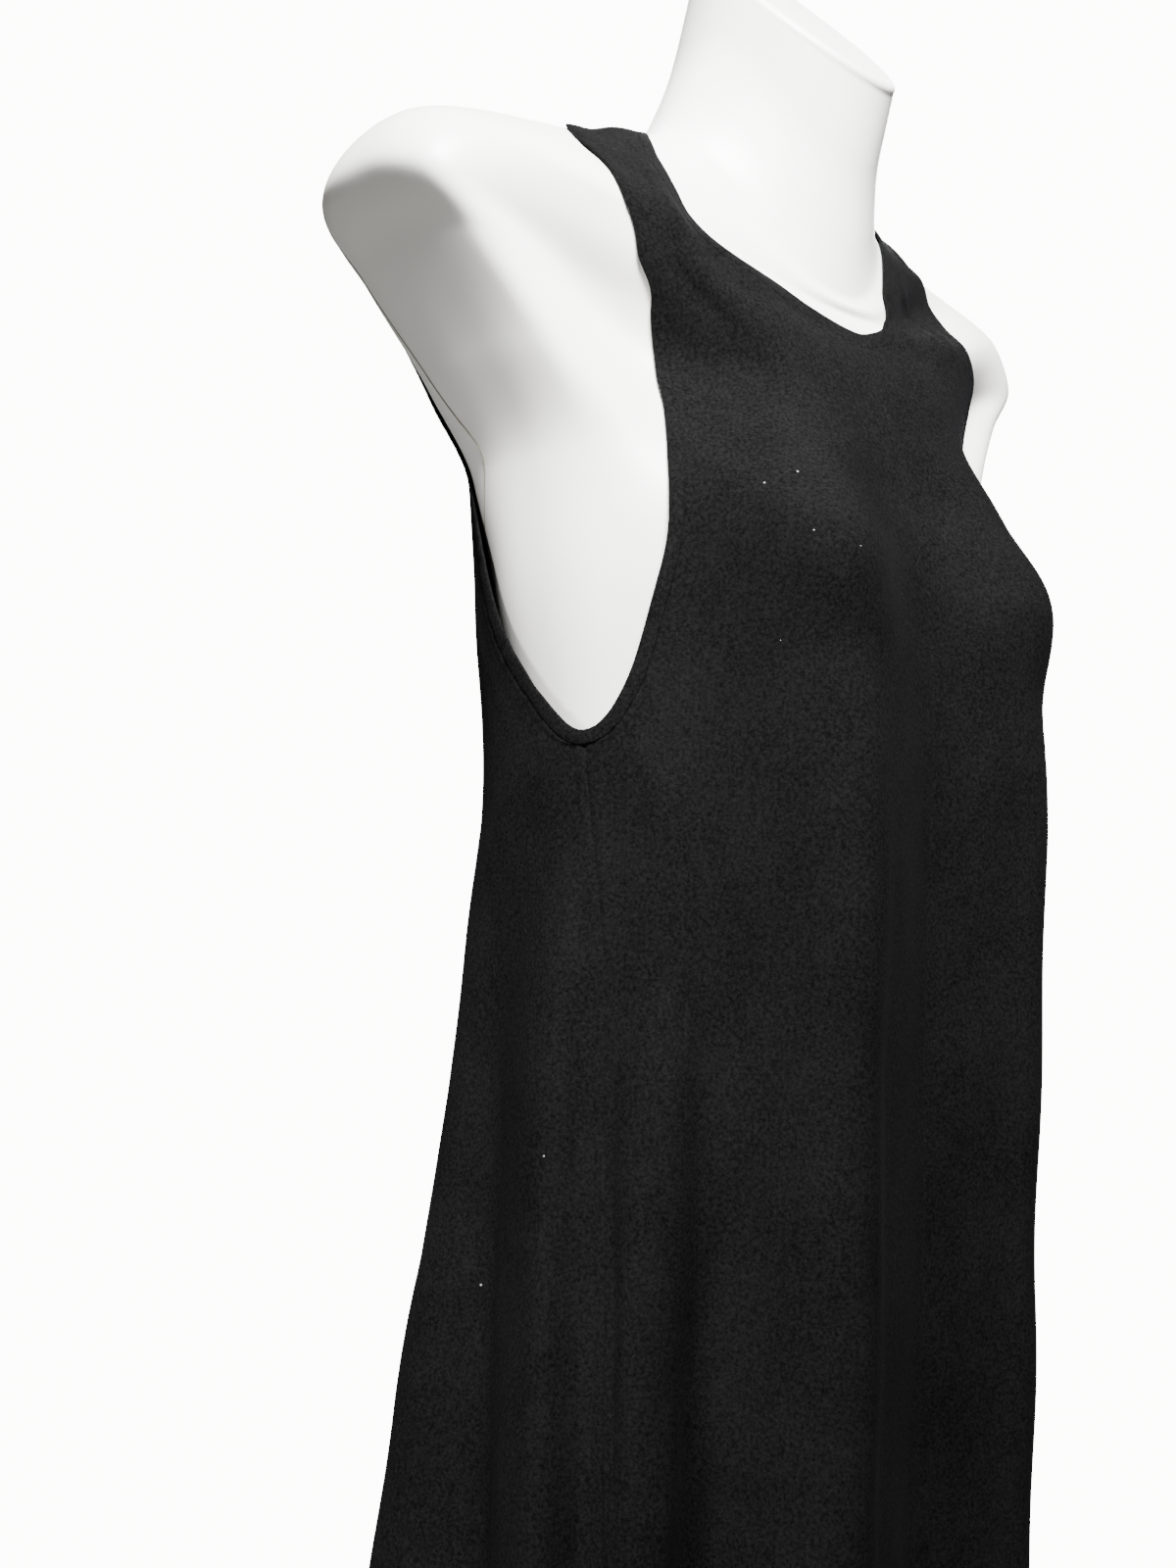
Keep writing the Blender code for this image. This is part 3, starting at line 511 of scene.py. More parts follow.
def armhole_loop(side):
    """Stations round an armhole: shoulder, front, underarm, back. Side -1 is the wearer's right."""
    table = LEFT_ARMHOLE if side > 0 else RIGHT_ARMHOLE
    knots = np.array([row[1:] for row in table], float)
    count = len(knots)
    low = [row[0] for row in table].index("underarm")

    def curve(at):
        cell = np.floor(at).astype(int)
        t = (at - cell)[:, None]
        before, start, end, after = (knots[(cell + step) % count] for step in (-1, 0, 1, 2))
        square = (2 * before - 5 * start + 4 * end - after) * t**2
        cube = (3 * start - before - 3 * end + after) * t**3
        return start + 0.5 * ((end - before) * t + square + cube)

    front = evenly(curve(np.linspace(0, low, EDGE_SAMPLES)), YOKE_ROWS)
    back = evenly(curve(np.linspace(low, count, EDGE_SAMPLES)), YOKE_ROWS)
    return np.concatenate([front[:-1], back[:-1]])


def neck_loop():
    """Stations round the neckline: centre front, right shoulder, centre back, left shoulder."""
    rows = np.array([row[1:] for row in NECKLINE], float)
    rows = np.concatenate([rows[-1:] - (360, 0), rows, rows[:1] + (360, 0)])

    def quarter(start, end, count):
        angle = np.linspace(start, end, EDGE_SAMPLES)
        return evenly(np.stack([angle, smooth_through(rows[:, 0], rows[:, 1], angle)], -1), count)[:-1]

    front, back = NECK_ROWS_FRONT, NECK_ROWS_BACK
    return np.concatenate(
        [quarter(0, -90, front), quarter(-90, -180, back), quarter(180, 90, back), quarter(90, 0, front)]
    )


def beside(loop, distance):
    """The loop's stations moved this far on the cloth, to the left of its way round as seen from outside."""
    step = np.roll(loop, -1, axis=0) - np.roll(loop, 1, axis=0)
    step[:, 0] = wrap(step[:, 0])
    normal, by_angle, by_level = slopes(body_points, loop[:, 0], loop[:, 1])
    along = by_angle * step[:, :1] + by_level * step[:, 1:]
    across = np.cross(normal, along)
    across *= distance / np.linalg.norm(across, axis=-1, keepdims=True)
    aa = (by_angle**2).sum(-1)
    ab = (by_angle * by_level).sum(-1)
    bb = (by_level**2).sum(-1)
    pa = (across * by_angle).sum(-1)
    pb = (across * by_level).sum(-1)
    det = aa * bb - ab * ab
    return loop + np.stack([(pa * bb - pb * ab) / det, (pb * aa - pa * ab) / det], -1)


def side_seam_angle(level):
    """How far round from the front the side seam runs: further forward towards the hem."""
    down = np.clip((ARMHOLE_LOW - level) / (ARMHOLE_LOW + DRESS_LENGTH), 0, 1)
    return SEAM_ANGLE_TOP + (SEAM_ANGLE_HEM - SEAM_ANGLE_TOP) * down


def half_panel(back, side):
    """(angle, level) of a grid from the hem to the shoulder and from the centre to the side seam."""
    inset = -side * (BAND_WIDTH + SEAM_GAP)
    armhole = beside(armhole_loop(side), inset)
    neck = beside(neck_loop(), BAND_WIDTH + SEAM_GAP)
    neck[:, 0] = wrap(neck[:, 0])
    front_steps, back_steps = NECK_ROWS_FRONT - 1, NECK_ROWS_BACK - 1
    if back:
        outer = np.concatenate([armhole[YOKE_ROWS - 1:], armhole[:1]])
        inner = neck[front_steps + back_steps + side * np.arange(back_steps + 1)]
    else:
        outer = armhole[:YOKE_ROWS][::-1]
        inner = neck[side * -np.arange(front_steps + 1)]
    inner[:, 0] = side * np.abs(inner[:, 0])
    centre = 180.0 * side if back else 0.0
    low = ARMHOLE_LOW - BAND_WIDTH - SEAM_GAP
    up_centre = np.linspace(low, inner[0, 1], EDGE_SAMPLES)
    centre_line = np.stack([np.full(EDGE_SAMPLES, centre), up_centre], -1)
    centre_line = evenly(centre_line, YOKE_ROWS - len(inner) + 1)
    inner[0, 0] = centre
    inner = np.concatenate([centre_line[:-1], inner])
    skirt = np.linspace(-DRESS_LENGTH, low, SKIRT_ROWS)[:-1]
    seam = side * side_seam_angle(skirt)
    seam += (outer[0, 0] - side * side_seam_angle(low)) * hump(low - skirt, SEAM_EASE, SEAM_EASE)
    inner = np.concatenate([np.stack([np.full(len(skirt), centre), skirt], -1), inner])
    outer = np.concatenate([np.stack([seam, skirt], -1), outer])
    across = spread(PANEL_COLUMNS + 1)[None, :, None]
    return inner[:, None] * (1 - across) + outer[:, None] * across


def parted(points, rows, columns):
    """The grid with these outside rows and columns drawn in by half a seam's gap, out if negative."""
    points = points.copy()
    for axis, ends in ((0, rows), (1, columns)):
        lines = np.moveaxis(points, axis, 0)
        for end in ends:
            inward = lines[1 if end == 0 else -2] - lines[end]
            lines[end] += 0.5 * SEAM_GAP * inward / np.linalg.norm(inward, axis=-1, keepdims=True)
    return points


def grid_faces(rows, columns, closed=False, flip=False):
    """Quads of a grid of rows by columns, the last column joined to the first where closed."""
    number = np.arange(rows * columns).reshape(rows, columns)
    if closed:
        number = np.concatenate([number, number[:, :1]], axis=1)
    quads = np.stack([number[:-1, :-1], number[:-1, 1:], number[1:, 1:], number[1:, :-1]], -1).reshape(-1, 4)
    return quads[:, ::-1] if flip else quads


def spread(count):
    """Fractions from 0 to 1, closer together towards both ends: even steps, less one turn of a sine."""
    t = np.linspace(0, 1, count)
    return t - END_SPREAD * np.sin(2 * np.pi * t) / (2 * np.pi)


def crease_relief(points, normal):
    """Sum of the creases. Each follows a parabola through its three places on the cloth. It falls off across
    its half widths as a squared cosine, and towards its ends as a power of a sine."""
    total = np.zeros(points.shape[:-1])
    t = np.linspace(0, 1, CREASE_SAMPLES)[:, None]
    for _, start, middle, end, left, right, height in CREASES:
        start, middle, end = (np.array(place, float) for place in (start, middle, end))
        middle[0] = start[0] + wrap(middle[0] - start[0])
        end[0] = middle[0] + wrap(end[0] - middle[0])
        place = start * (1 - t) * (1 - 2 * t) + middle * 4 * t * (1 - t) + end * t * (2 * t - 1)
        line = cloth_points(place[:, 0], place[:, 1])
        way = np.gradient(line, axis=0)
        way /= np.linalg.norm(way, axis=-1, keepdims=True)
        run = run_along(line, 0)
        nearest = (points**2).sum(-1)[..., None] - 2 * points @ line.T + (line**2).sum(-1)
        nearest = nearest.argmin(-1)
        away = points - line[nearest]
        along = (away * way[nearest]).sum(-1)
        side = (np.cross(normal, way[nearest]) * away).sum(-1)
        gap = np.sign(side) * np.sqrt(np.maximum((away**2).sum(-1) - along**2, 0))
        taper = np.sin(np.pi * np.clip((run[nearest] + along) / run[-1], 0, 1)) ** CREASE_TAPER
        total += height * taper * hump(gap, right, left)
    return total


def fold_crests(angle, level):
    """Each hanging fold's crest or bottom made sharper: CREST_SHARE of its depth over CREST_WIDTH of its
    widths."""
    total = np.zeros(np.broadcast(angle, level).shape)
    for deep, deep_hem, fall, along, offset, low, high in each_fold(angle, level):
        depth = CREST_SHARE * (deep_hem + CREST_TOP * (deep - deep_hem) * (1 - along)) * fall * fall
        narrow = hump(offset, CREST_WIDTH * low, CREST_WIDTH * high)
        total = total + depth * narrow * np.clip(along * CREST_START, 0, 1)
    return total


def waves(angle, level):
    """Slight unevenness of hanging cloth: a few slanting sine waves, which fade out above the bust."""
    fade = np.clip((WAVES_FROM - level) / WAVES_RUN, 0, 1)
    total = np.zeros(np.broadcast(angle, level).shape)
    for turns, rises, start, depth in WAVES:
        total = total + depth * np.sin(np.radians(angle) * turns + level * rises + start)
    return total * (WAVES_LEAST + (1 - WAVES_LEAST) * fade)


def cloth_relief(angle, level):
    """Cloth's outer face, its outward normal, and the height of all creases over it. Over the form, no crease
    is deeper than the room under it."""
    base = cloth_points(angle, level)
    normal, _, _ = slopes(body_points, angle, level)
    height = crease_relief(base, normal) + fold_crests(angle, level) + waves(angle, level)
    room = np.interp(level, ROOM_LEVELS, ROOM_UNDER)
    return base, normal, np.maximum(height, -room)


def linked(name, data):
    """An object in the scene, with this name and data."""
    item = bpy.data.objects.new(name, data)
    bpy.context.scene.collection.objects.link(item)
    return item


def new_object(name, points, faces, material, uv=None):
    """A smooth mesh: points, faces as an array or a list, and a UV pair for each point."""
    points = np.asarray(points, np.float32).reshape(-1, 3)
    mesh = bpy.data.meshes.new(name)
    mesh.from_pydata(points, [], faces if isinstance(faces, list) else faces.tolist())
    if uv is not None:
        corner = np.empty(len(mesh.loops), np.int32)
        mesh.loops.foreach_get("vertex_index", corner)
        layer = mesh.uv_layers.new(name="UVMap")
        layer.data.foreach_set("uv", np.asarray(uv, np.float32).reshape(-1, 2)[corner].ravel())
    mesh.shade_smooth()
    mesh.materials.append(material)
    return linked(name, mesh)


def placed(item, slot, *nodes):
    """The piece rides on the part's one body and stands for these nodes, which it hides. slot is not used."""
    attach(item, "root")
    if nodes:
        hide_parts(*nodes)
    return item


def low_share(level):
    """How plainly a band shows: wholly round the underarm, and hardly on the way up to the shoulder."""
    share = np.clip((FAINT_ABOVE - level) / FAINT_RUN, 0, 1)
    return FAINT_SHARE + (1 - FAINT_SHARE) * share * share * (3 - 2 * share)


def bell(offset, width):
    """1 at offset 0, falling off to both sides as a bell curve of this width."""
    return np.exp(-((offset / width) ** 2))


def seam_relief(distance):
    """Across a seam: the edge sinks within a millimetre, beside the flat ridge of the allowance."""
    ridge = ALLOWANCE_RISE * bell(distance - ALLOWANCE_AT, ALLOWANCE_WIDTH)
    return ridge - SEAM_SINK * bell(distance, SEAM_SINK_WIDTH)


def raised(base, normal, height):
    """Points this far out of a surface, with heights from the floor."""
    return base + height[..., None] * normal + (0, 0, SHOULDER_HEIGHT)


def half_panel_layers(back, side):
    """Outer and inner points and UV of half the front or the back: the cloth, its creases and its seams."""
    place = half_panel(back, side)
    angle, level = place[..., 0], place[..., 1]
    base, normal, relief = cloth_relief(angle, level)
    across = run_along(base, 1)
    up = run_along(base, 0)
    by_neck = np.arange(len(place)) >= len(place) - (NECK_ROWS_BACK if back else NECK_ROWS_FRONT)
    outer_level = level[:, -1]
    on_seam = outer_level < ARMHOLE_LOW - BAND_WIDTH
    outer_share = np.where(on_seam, SIDE_SEAM_SHARE, low_share(outer_level))
    inner_share = np.where(by_neck, NECK_SHARE, 0.0 if back else CENTRE_SEAM_SHARE)
    relief = relief + outer_share[:, None] * seam_relief(across[:, -1:] - across)
    relief = relief + SHOULDER_SEAM_SHARE * seam_relief(up[-1:] - up)
    relief = relief + inner_share[:, None] * seam_relief(across)
    relief = relief - HEM_SINK * bell(up - HEM_DEPTH, HEM_SINK_WIDTH)
    outer, inner = (
        parted(raised(base, normal, relief - under), rows=(-1,), columns=(-1,) if back else (0, -1))
        for under in (0, WALL)
    )
    return outer, inner, np.stack([side * across, up], -1)


def wall_faces(faces, count):
    """Faces of a closed wall from those of its outer side: the inner side turned round, and a rim."""
    edges = np.stack([faces, np.roll(faces, -1, axis=1)], -1).reshape(-1, 2)
    rim = edges[~np.isin(edges @ (count, 1), edges @ (1, count))]
    rim_faces = np.stack([rim[:, 1], rim[:, 0], rim[:, 0] + count, rim[:, 1] + count], -1)
    return np.concatenate([faces, faces[:, ::-1] + count, rim_faces])


def half_front(name, side, jersey):
    outer, inner, uv = half_panel_layers(False, side)
    faces = grid_faces(*outer.shape[:2], flip=side < 0)
    points = np.concatenate([outer.reshape(-1, 3), inner.reshape(-1, 3)])
    uv = np.concatenate([uv.reshape(-1, 2)] * 2)
    return new_object(name, points, wall_faces(faces, outer.size // 3), jersey, uv)


def back_panel(jersey):
    """Both halves of the back, welded down the centre."""
    halves = [half_panel_layers(True, side) for side in (-1, 1)]
    outer, inner, uv = (
        np.concatenate([layer.reshape(-1, layer.shape[-1]) for layer in layers]) for layers in zip(*halves)
    )
    rows, columns = halves[0][0].shape[:2]
    mirrored = grid_faces(rows, columns, flip=True) + rows * columns
    faces = np.concatenate([grid_faces(rows, columns), mirrored])
    _, first, number = np.unique(np.round(outer / WELD), axis=0, return_index=True, return_inverse=True)
    faces = number.reshape(-1)[faces]
    points = np.concatenate([outer[first], inner[first]])
    uv = np.concatenate([uv[first]] * 2)
    return new_object("back_panel", points, wall_faces(faces, len(first)), jersey, uv)


def band(name, loop, side, jersey, seed, low=None):
    """A rolled band round a garment edge. Its section is a flattened oval as wide as the band, which stands
    BAND_RISE over the panel where it shows plainly. A sum of sines along it makes small uneven puckers. low
    is the station of the side seam, whose end makes a bump."""
    turn = np.linspace(0, 2 * np.pi, BAND_CORNERS, endpoint=False)
    across = 0.5 - 0.5 * np.cos(turn)
    upper = np.sin(turn)
    over = (upper > 0)[:, None]
    size = np.abs(upper)[:, None]
    section = np.where(over, BAND_RISE * size**BAND_TOP_POWER, -WALL * size**BAND_UNDER_POWER)
    stations = len(loop)
    way = np.arange(stations) * 2 * np.pi / stations
    pucker = np.zeros(stations)
    for cycles, start in zip(PUCKER_CYCLES, np.random.default_rng(seed).uniform(0, 6.28, 4)):
        pucker += np.sin(cycles * way + start) / len(PUCKER_CYCLES)
    length = run_along(cloth_points(loop[:, 0], loop[:, 1]), 0)
    share = np.full(stations, NECK_SHARE) if low is None else low_share(loop[:, 1])
    bump = 0.0 if low is None else SEAM_BUMP * bell(length - length[low], SEAM_BUMP_WIDTH)
    place = np.stack([beside(loop, -side * part * BAND_WIDTH) for part in across])
    base, normal, relief = cloth_relief(place[..., 0], place[..., 1])
    rise = (BAND_LEAST_RISE + (1 - BAND_LEAST_RISE) * share) * (1 + PUCKER_SWELL * pucker)
    lift = section * np.where(over, rise, 1) + PUCKER_LIFT * pucker * share + np.where(over, bump, 0)
    points = raised(base, normal, relief + lift)
    uv = np.stack(np.broadcast_arrays(across[:, None] * BAND_WIDTH, length[None]), -1)
    faces = grid_faces(BAND_CORNERS + 1, stations, closed=True, flip=side > 0)
    faces = faces % (BAND_CORNERS * stations)
    return new_object(name, points, faces, jersey, uv)


def scattered(name, template, faces, centres, frames, sizes, material):
    """Many copies of one small closed shape as one mesh, each scaled, turned to its own axes and moved."""
    points = np.einsum("nk,mk,nkc->nmc", sizes, template, frames) + centres[:, None]
    count = len(template)
    all_faces = np.concatenate([faces + count * n for n in range(len(centres))])
    return new_object(name, points, all_faces, material)


def small_bead():
    """A closed bead of half length 1, as triangles: two rings of six corners between two tips."""
    turn = np.arange(6) * np.pi / 3
    rings = [np.stack([np.full(6, x), np.cos(turn) * 0.85, np.sin(turn) * 0.85], -1) for x in (-0.5, 0.5)]
    points = np.concatenate([[(-1, 0, 0)], *rings, [(1, 0, 0)]])
    k = np.arange(6)
    n = np.roll(k, -1)
    zero = np.zeros(6, int)
    faces = [
        np.stack([zero, n + 1, k + 1], -1),
        np.stack([k + 1, n + 1, n + 7], -1),
        np.stack([k + 1, n + 7, k + 7], -1),
        np.stack([zero + 13, k + 7, n + 7], -1),
    ]
    return points, np.concatenate(faces)


def on_cloth(place, sink):
    """Points this far into the finished cloth at these places, and axes there: along the level, up, out."""
    base, normal, relief = cloth_relief(place[:, 0], place[:, 1])
    points = raised(base, normal, relief - sink)
    along = slopes(body_points, place[:, 0], place[:, 1])[1]
    along /= np.linalg.norm(along, axis=-1, keepdims=True)
    return points, np.stack([along, np.cross(normal, along), normal], 1)


def hem_stitches(thread):
    """Two rows of twin-needle stitches round the hem, each a small bead half sunk in the cloth."""
    places = []
    for depth in (HEM_DEPTH, HEM_DEPTH + STITCH_ROWS_APART):
        angle = np.linspace(-180, 180, HEM_SAMPLES)
        level = np.full(angle.shape, depth - DRESS_LENGTH)
        base, normal, relief = cloth_relief(angle, level)
        run = run_along(raised(base, normal, relief), 0)
        at = np.arange(0, run[-1] - STITCH_PITCH, STITCH_PITCH)
        places.append(np.stack([np.interp(at, run, angle), np.full(at.shape, level[0])], -1))
    place = np.concatenate(places)
    points, axes = on_cloth(place, STITCH_SINK)
    sizes = np.broadcast_to(STITCH_HALF_SIZES, points.shape)
    return scattered("hem_stitches", *small_bead(), points, axes, sizes, thread)


def lint_specks(lint):
    """Specks of pale lint caught in the nap, each a small uneven bead."""
    place = np.array(LINT, float)
    points, axes = on_cloth(place[:, :2], LINT_SINK)
    sizes = np.random.default_rng(8).uniform(*LINT_SIZES, (len(place), 3))
    sizes = sizes * place[:, 2:] * (1, 1, LINT_FLATNESS)
    return scattered("lint_specks", *small_bead(), points, axes, sizes, lint)


def form_shade_lines(line):
    """Painted shade down the back edge of each shoulder, where the form turns away into shade: one half-sunk
    dark cord of eight corners a side, which thins out at both ends."""
    t = np.linspace(0, len(SHADED_EDGE) - 1, SHADED_EDGE_SAMPLES)
    knots = np.array(SHADED_EDGE, float)
    cords = []
    turn = np.arange(8) * np.pi / 4
    for side in (1, -1):
        at = [smooth_through(np.arange(len(SHADED_EDGE)), knots[:, k], t) for k in (0, 1)]
        centre = form_points(side * at[0], at[1]) + (0, 0, SHOULDER_HEIGHT)
        way = np.gradient(centre, axis=0)
        way /= np.linalg.norm(way, axis=-1, keepdims=True)
        out = slopes(form_points, side * at[0], at[1])[0]
        aside = np.cross(out, way)
        thin = SHADED_EDGE_RADIUS * np.sin(np.pi * np.clip(t / t[-1], 0.02, 0.98)) ** 0.3
        ring = np.cos(turn)[:, None, None] * aside + np.sin(turn)[:, None, None] * out
        cords.append(centre + thin[:, None] * ring)
    columns, count = len(turn), len(t)
    quads = grid_faces(columns + 1, count) % (columns * count)
    first = np.arange(columns) * count
    ends = [first[::-1], first + count - 1]
    caps = np.array([[end[0], end[k], end[k + 1], end[k + 2]] for end in ends for k in (1, 3, 5)])
    faces = np.concatenate([np.concatenate([quads, caps]) + n * columns * count for n in (0, 1)])
    return new_object("form_painted_shade_lines", np.concatenate(cords), faces, line)


def neck_top(angle):
    """Level at which each column of the form meets the sloping cut of the neck, by repeated halving."""
    low = np.full(angle.shape, NECK_LOW)
    high = np.full(angle.shape, FORM_RINGS_TABLE[-1][1])
    for _ in range(HALVINGS):
        middle = 0.5 * (low + high)
        over = (form_points(angle, middle) - CUT_POINT) @ CUT_NORMAL > -NECK_RIM
        low, high = np.where(over, low, middle), np.where(over, middle, high)
    return low


def capped(rows, columns):
    """Faces of a closed stack of rings: quads between them, and a fan to a middle point below and above."""
    first = np.arange(columns)
    following = np.roll(first, -1)
    count = rows * columns
    bottom = np.stack([following, first, np.full(columns, count)], -1)
    over = count - columns
    top = np.stack([first + over, following + over, np.full(columns, count + 1)], -1)
    return grid_faces(rows, columns, closed=True).tolist() + bottom.tolist() + top.tolist()


def smooth_form(plastic):
    """Whole form: rings from the bottom to the sloping cut, a round rim of NECK_RIM radius, and a slightly
    domed cap. Rows lie at even steps of the distance run up the form's widest lines."""
    angle = np.arange(FORM_COLUMNS) * 360 / FORM_COLUMNS
    profile = np.linspace(-FORM_LENGTH, NECK_LOW, PROFILE_SAMPLES)
    step = np.diff(form_points(angle[None], profile[:, None]), axis=0)
    apart = np.linalg.norm(step, axis=-1).max(axis=1)
    run = np.concatenate([[0], np.cumsum(apart)])
    below = np.interp(np.linspace(0, run[-1], FORM_ROWS), run, profile)
    above = NECK_LOW + np.linspace(0, 1, NECK_RINGS)[1:, None] * (neck_top(angle) - NECK_LOW)
    level = np.concatenate([np.broadcast_to(below[:, None], (FORM_ROWS, FORM_COLUMNS)), above])
    points = form_points(angle[None], level)
    edge = points[-1]
    middle = edge.mean(axis=0)
    out = edge - middle
    out -= (out @ CUT_NORMAL)[:, None] * CUT_NORMAL
    out /= np.linalg.norm(out, axis=-1, keepdims=True)
    arc = np.linspace(0, np.pi / 2, RIM_RINGS)[1:, None, None]
    rim = edge - NECK_RIM * out + NECK_RIM * (np.cos(arc) * out + np.sin(arc) * CUT_NORMAL)
    share = np.linspace(0, 1, CAP_RINGS)[1:-1, None, None]
    centre = rim[-1].mean(axis=0)
    cap = rim[-1] + (centre - rim[-1]) * share + NECK_DOME * (1 - (1 - share) ** 2) * CUT_NORMAL
    corner = np.linspace(0, np.pi / 2, BOTTOM_RINGS)[:-1, None, None]
    low = points[0]
    inward = low * (1, 1, 0) / np.linalg.norm(low[:, :2], axis=-1)[:, None]
    foot = low - BOTTOM_ROUND * inward * (1 - np.sin(corner))
    foot = foot + np.array([0, 0, BOTTOM_ROUND]) * (1 - np.cos(corner))
    points = np.concatenate([foot, points[points[:, 0, 2] > -FORM_LENGTH + BOTTOM_ROUND], rim, cap])
    faces = capped(len(points), FORM_COLUMNS)
    points = points.reshape(-1, 3)
    middles = [points[:FORM_COLUMNS].mean(axis=0), centre + NECK_DOME * CUT_NORMAL]
    points = np.concatenate([points, middles]) + (0, 0, SHOULDER_HEIGHT)
    return new_object("form_shell", points, faces, plastic)


def lathe(name, profile, material, columns=96):
    """A round piece about the stand's axis: a profile of (radius, height) points, turned in equal steps."""
    turn = np.arange(columns) * 2 * np.pi / columns
    radius, height = np.array(profile, float).T[:, :, None]
    points = np.stack(np.broadcast_arrays(radius * np.cos(turn), radius * np.sin(turn), height), -1)
    middles = [(0, 0, height[0, 0]), (0, 0, height[-1, 0])]
    points = np.concatenate([points.reshape(-1, 3), middles])
    return new_object(name, points, capped(len(profile), columns), material)


def rounded(radius_in, radius, low, high, edge, steps=6):
    """Profile of a disc from its bottom to its top, whose two outer corners are quarter rounds."""
    turn = np.linspace(0, np.pi / 2, steps)
    lower = [(radius - edge + edge * math.sin(t), low + edge - edge * math.cos(t)) for t in turn]
    upper = [(radius - edge + edge * math.cos(t), high - edge + edge * math.sin(t)) for t in turn]
    return [(radius_in, low)] + lower + upper + [(radius_in, high)]


def linear(code):
    """A colour from its sRGB hex value, as linear numbers."""
    parts = [int(code[k : k + 2], 16) / 255 for k in (1, 3, 5)]
    return [c / 12.92 if c <= 0.04045 else ((c + 0.055) / 1.055) ** 2.4 for c in parts] + [1.0]


def node(material, kind, settings=None, **links):
    """Adds a node. settings are its attributes, and links its sockets: values or other nodes' outputs."""
    made = material.node_tree.nodes.new(kind)
    for name, value in (settings or {}).items():
        setattr(made, name, value)
    for name, value in links.items():
        numbered = name[0] == "i" and name[1:].isdigit()
        socket = made.inputs[int(name[1:]) if numbered else name.replace("_", " ")]
        if isinstance(value, bpy.types.NodeSocket):
            material.node_tree.links.new(value, socket)
        else:
            socket.default_value = value
    return made


def new_material(name, **values):
    """A material whose shader has these values on its own sockets."""
    material = bpy.data.materials.new(name)
    material.use_nodes = True
    shader = material.node_tree.nodes["Principled BSDF"]
    for key, value in values.items():
        shader.inputs[key.replace("_", " ")].default_value = value
    return material, shader


def join(material, output, shader, socket):
    material.node_tree.links.new(output, shader.inputs[socket])


def object_place(material):
    return node(material, "ShaderNodeTexCoord").outputs["Object"]


def noise(material, place, pitch, detail, **links):
    """Cloudy noise of this pitch in metres."""
    made = node(material, "ShaderNodeTexNoise", Vector=place, Scale=1 / pitch, Detail=detail, **links)
    return made.outputs["Fac"]


def add_share(material, value, share, rest):
    """This share of a value, added to the rest."""
    parts = {"i0": value, "i1": share, "i2": rest}
    return node(material, "ShaderNodeMath", {"operation": "MULTIPLY_ADD"}, **parts).outputs[0]


def two_tones(material, shader, value, dark, light, ends=(0.0, 1.0)):
    """Base colour that goes from dark to light while the value goes between its two ends."""
    ramp = node(material, "ShaderNodeValToRGB", Fac=value)
    for stop, end, code in zip(ramp.color_ramp.elements, ends, (dark, light)):
        stop.position = end
        stop.color = linear(code)
    join(material, ramp.outputs["Color"], shader, "Base Color")


def bumped(material, shader, height, strength, depth):
    """Small relief that only the light sees, of this depth in metres."""
    bump = node(material, "ShaderNodeBump", Strength=strength, Distance=depth, Height=height)
    join(material, bump.outputs["Normal"], shader, "Normal")


def brushed_jersey():
    """Black cotton-rich jersey, knitted and lightly brushed: a deep matt black whose nap catches soft light
    at grazing angles, with faint, broad slanting ribs and a speckle of short fibres."""
    material, shader = new_material(
        "brushed black jersey",
        Roughness=0.85,
        Specular_IOR_Level=0.02,
        Sheen_Weight=0.012,
        Sheen_Roughness=0.5,
    )
    shader.inputs["Sheen Tint"].default_value = linear("#8c8c94")
    uv = node(material, "ShaderNodeUVMap", {"uv_map": "UVMap"})
    place = object_place(material)
    nap = noise(material, place, 0.0016, 3.0, Roughness=0.7)
    cloud = noise(material, place, 0.045, 4.0, Roughness=0.6)
    clouded = node(material, "ShaderNodeMath", {"operation": "MULTIPLY"}, i0=cloud, i1=0.2).outputs[0]
    fibres = add_share(material, nap, 0.8, clouded)
    two_tones(material, shader, fibres, JERSEY_DARK, JERSEY_LIGHT, (0.36, 0.66))
    turned = node(material, "ShaderNodeMapping", Vector=uv.outputs["UV"], Rotation=(0, 0, math.radians(24)))
    ribs = node(
        material, "ShaderNodeTexWave", {"wave_type": "BANDS", "bands_direction": "X"},
        Vector=turned.outputs["Vector"], Scale=math.tau / (RIB_PITCH * WAVE_TEXTURE_TURNS), Distortion=1.5,
        Detail=2.0, Detail_Scale=2.0,
    )
    bumped(material, shader, add_share(material, ribs.outputs["Fac"], 0.45, nap), 0.5, 0.0004)
    return material


def moulded_plastic():
    """Satin white ABS, moulded: even warm white with a soft gloss and the faintest ripple."""
    material, shader = new_material(
        "moulded white ABS",
        Roughness=0.42,
        Specular_IOR_Level=0.45,
        IOR=1.52,
        Coat_Weight=0.08,
        Coat_Roughness=0.3,
    )
    place = object_place(material)
    two_tones(material, shader, noise(material, place, 0.12, 3.0), "#ebe9e5", "#f2f1ee")
    bumped(material, shader, noise(material, place, 0.006, 2.0), 0.05, 0.0003)
    return material


def brushed_steel():
    """Stainless steel, brushed round its axis: fine streaks that spread the highlights."""
    material, shader = new_material("brushed stainless steel", Metallic=1.0, Roughness=0.34)
    streaks = node(material, "ShaderNodeMapping", Vector=object_place(material), Scale=(60.0, 60.0, 2600.0))
    grain = noise(material, streaks.outputs["Vector"], 1.0, 2.0)
    two_tones(material, shader, grain, "#a9a9aa", "#c9c9ca")
    bumped(material, shader, grain, 0.15, 0.0002)
    return material


def speckled(name, dark, light, roughness, pitch):
    """A plain dull finish whose colour wanders between two near tones: paint, thread, lint, or a dark line of
    painted shade.
    """
    material, shader = new_material(name, Roughness=roughness, Specular_IOR_Level=0.2)
    two_tones(material, shader, noise(material, object_place(material), pitch, 3.0), dark, light)
    return material


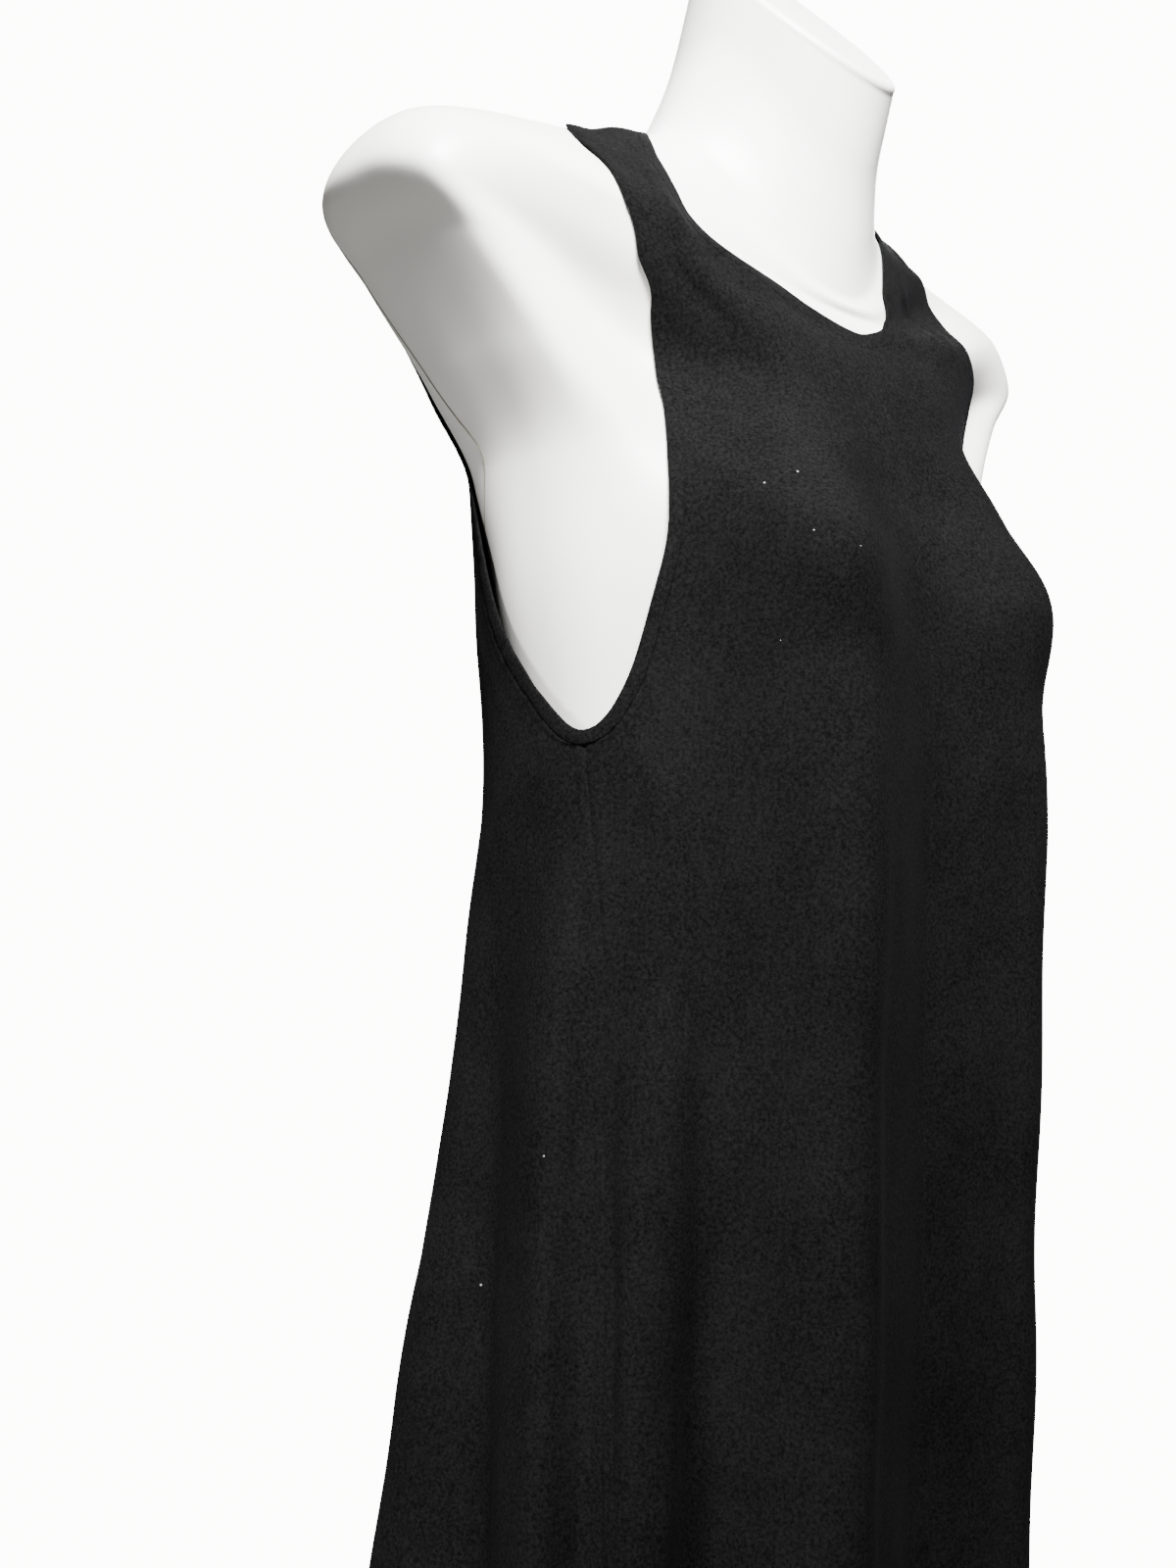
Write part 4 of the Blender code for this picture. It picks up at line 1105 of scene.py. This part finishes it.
def floor_and_light():
    """A pale round floor, a white studio seen behind and its dimmer soft light all round. A soft key light
    comes from above the camera, a weaker one from the wearer's right draws the skirt's folds, and a wide one
    stands behind."""
    turn = np.arange(FLOOR_CORNERS) * 2 * np.pi / FLOOR_CORNERS
    disc = np.stack([FLOOR_RADIUS * np.cos(turn), FLOOR_RADIUS * np.sin(turn), np.zeros(FLOOR_CORNERS)], -1)
    floor = linked("floor", bpy.data.meshes.new("floor"))
    floor.data.from_pydata(disc.tolist(), [], [tuple(range(FLOOR_CORNERS))])
    floor.data.materials.append(speckled("pale floor paint", "#d6d5d1", "#dad9d5", 0.8, 0.5))
    world = bpy.data.worlds.new("studio")
    bpy.context.scene.world = world
    world.use_nodes = True
    light = world.node_tree.nodes["Background"]
    light.inputs["Color"].default_value = linear("#fdfcf9")
    seen = node(world, "ShaderNodeLightPath").outputs["Is Camera Ray"]
    strength = node(world, "ShaderNodeMapRange", Value=seen, To_Min=WORLD_LIGHT, To_Max=WORLD_SEEN)
    join(world, strength.outputs["Result"], light, "Strength")
    for name, at, aim, size, power, wide in LAMPS:
        lamp = bpy.data.lights.new(name, "AREA")
        lamp.size = size
        lamp.energy = power
        lamp.color = linear("#ffffff")[:3]
        lamp.spread = math.radians(wide)
        item = linked(name, lamp)
        item.location = at
        item.rotation_euler = (Vector(aim) - Vector(at)).to_track_quat("-Z", "Y").to_euler()


def camera():
    """The photograph's view: low in front of the wearer's right, looking slightly up."""
    azimuth, pitch, roll = (math.radians(v) for v in CAMERA_TURN)
    level = Vector((math.sin(azimuth), math.cos(azimuth), 0))
    right = Vector((math.cos(azimuth), -math.sin(azimuth), 0))
    ahead = level * math.cos(pitch) + Vector((0, 0, math.sin(pitch)))
    up = right.cross(ahead)
    c, s = math.cos(roll), math.sin(roll)
    right, up = right * c - up * s, right * s + up * c
    lens = bpy.data.cameras.new("camera")
    lens.sensor_fit = "VERTICAL"
    lens.sensor_height = CAMERA_FRAME
    lens.lens = CAMERA_LENS
    item = linked("camera", lens)
    turn = Matrix((right, up, -ahead)).transposed()
    item.matrix_world = Matrix.Translation(CAMERA_PLACE) @ turn.to_4x4()
    bpy.context.scene.camera = item


def main():
    camera()
    jersey = brushed_jersey()
    plastic = moulded_plastic()
    steel = brushed_steel()
    fronts = [
        placed(half_front("front_panel_right", -1, jersey), "jersey", "front_right"),
        placed(half_front("front_panel_left", 1, jersey), "jersey", "front_left"),
    ]
    back = placed(back_panel(jersey), "jersey", "back")
    low = YOKE_ROWS - 1
    neck = band("neck_edge", neck_loop(), -1, jersey, 1)
    right = band("armhole_edge_right", armhole_loop(-1), -1, jersey, 2, low)
    left = band("armhole_edge_left", armhole_loop(1), 1, jersey, 3, low)
    bands = [
        placed(neck, "jersey", "neck_band"),
        placed(right, "jersey", "armhole_band_right"),
        placed(left, "jersey", "armhole_band_left"),
    ]
    placed(hem_stitches(speckled("black sewing thread", "#151517", "#232326", 0.6, 0.001)), "jersey")
    placed(lint_specks(speckled("cotton lint", "#6c6a66", "#8d8b86", 0.9, 0.001)), "jersey")
    placed(smooth_form(plastic), "form_plastic", "dress_form")
    # Painted shade: dark cords along the shaded back edges of the form's shoulders.
    placed(form_shade_lines(speckled("painted shade on the form's edge", "#6d6a5c", "#7c796b", 0.6, 0.02)), "form_plastic")
    plate = lathe("stand_plate", rounded(0.0, PLATE_RADIUS, 0, PLATE_THICKNESS, PLATE_EDGE), steel, 160)
    placed(plate, "stand_steel", "base_plate")
    top = SHOULDER_HEIGHT - FORM_LENGTH
    collar = rounded(POLE_RADIUS, COLLAR_RADIUS, top - COLLAR_HEIGHT, top, COLLAR_EDGE)
    pole = [(POLE_RADIUS, PLATE_THICKNESS)] + collar[:-1] + [(POLE_TOP_RADIUS, top)]
    placed(lathe("stand_pole", pole, steel), "stand_steel", "pole")
    floor_and_light()


main()
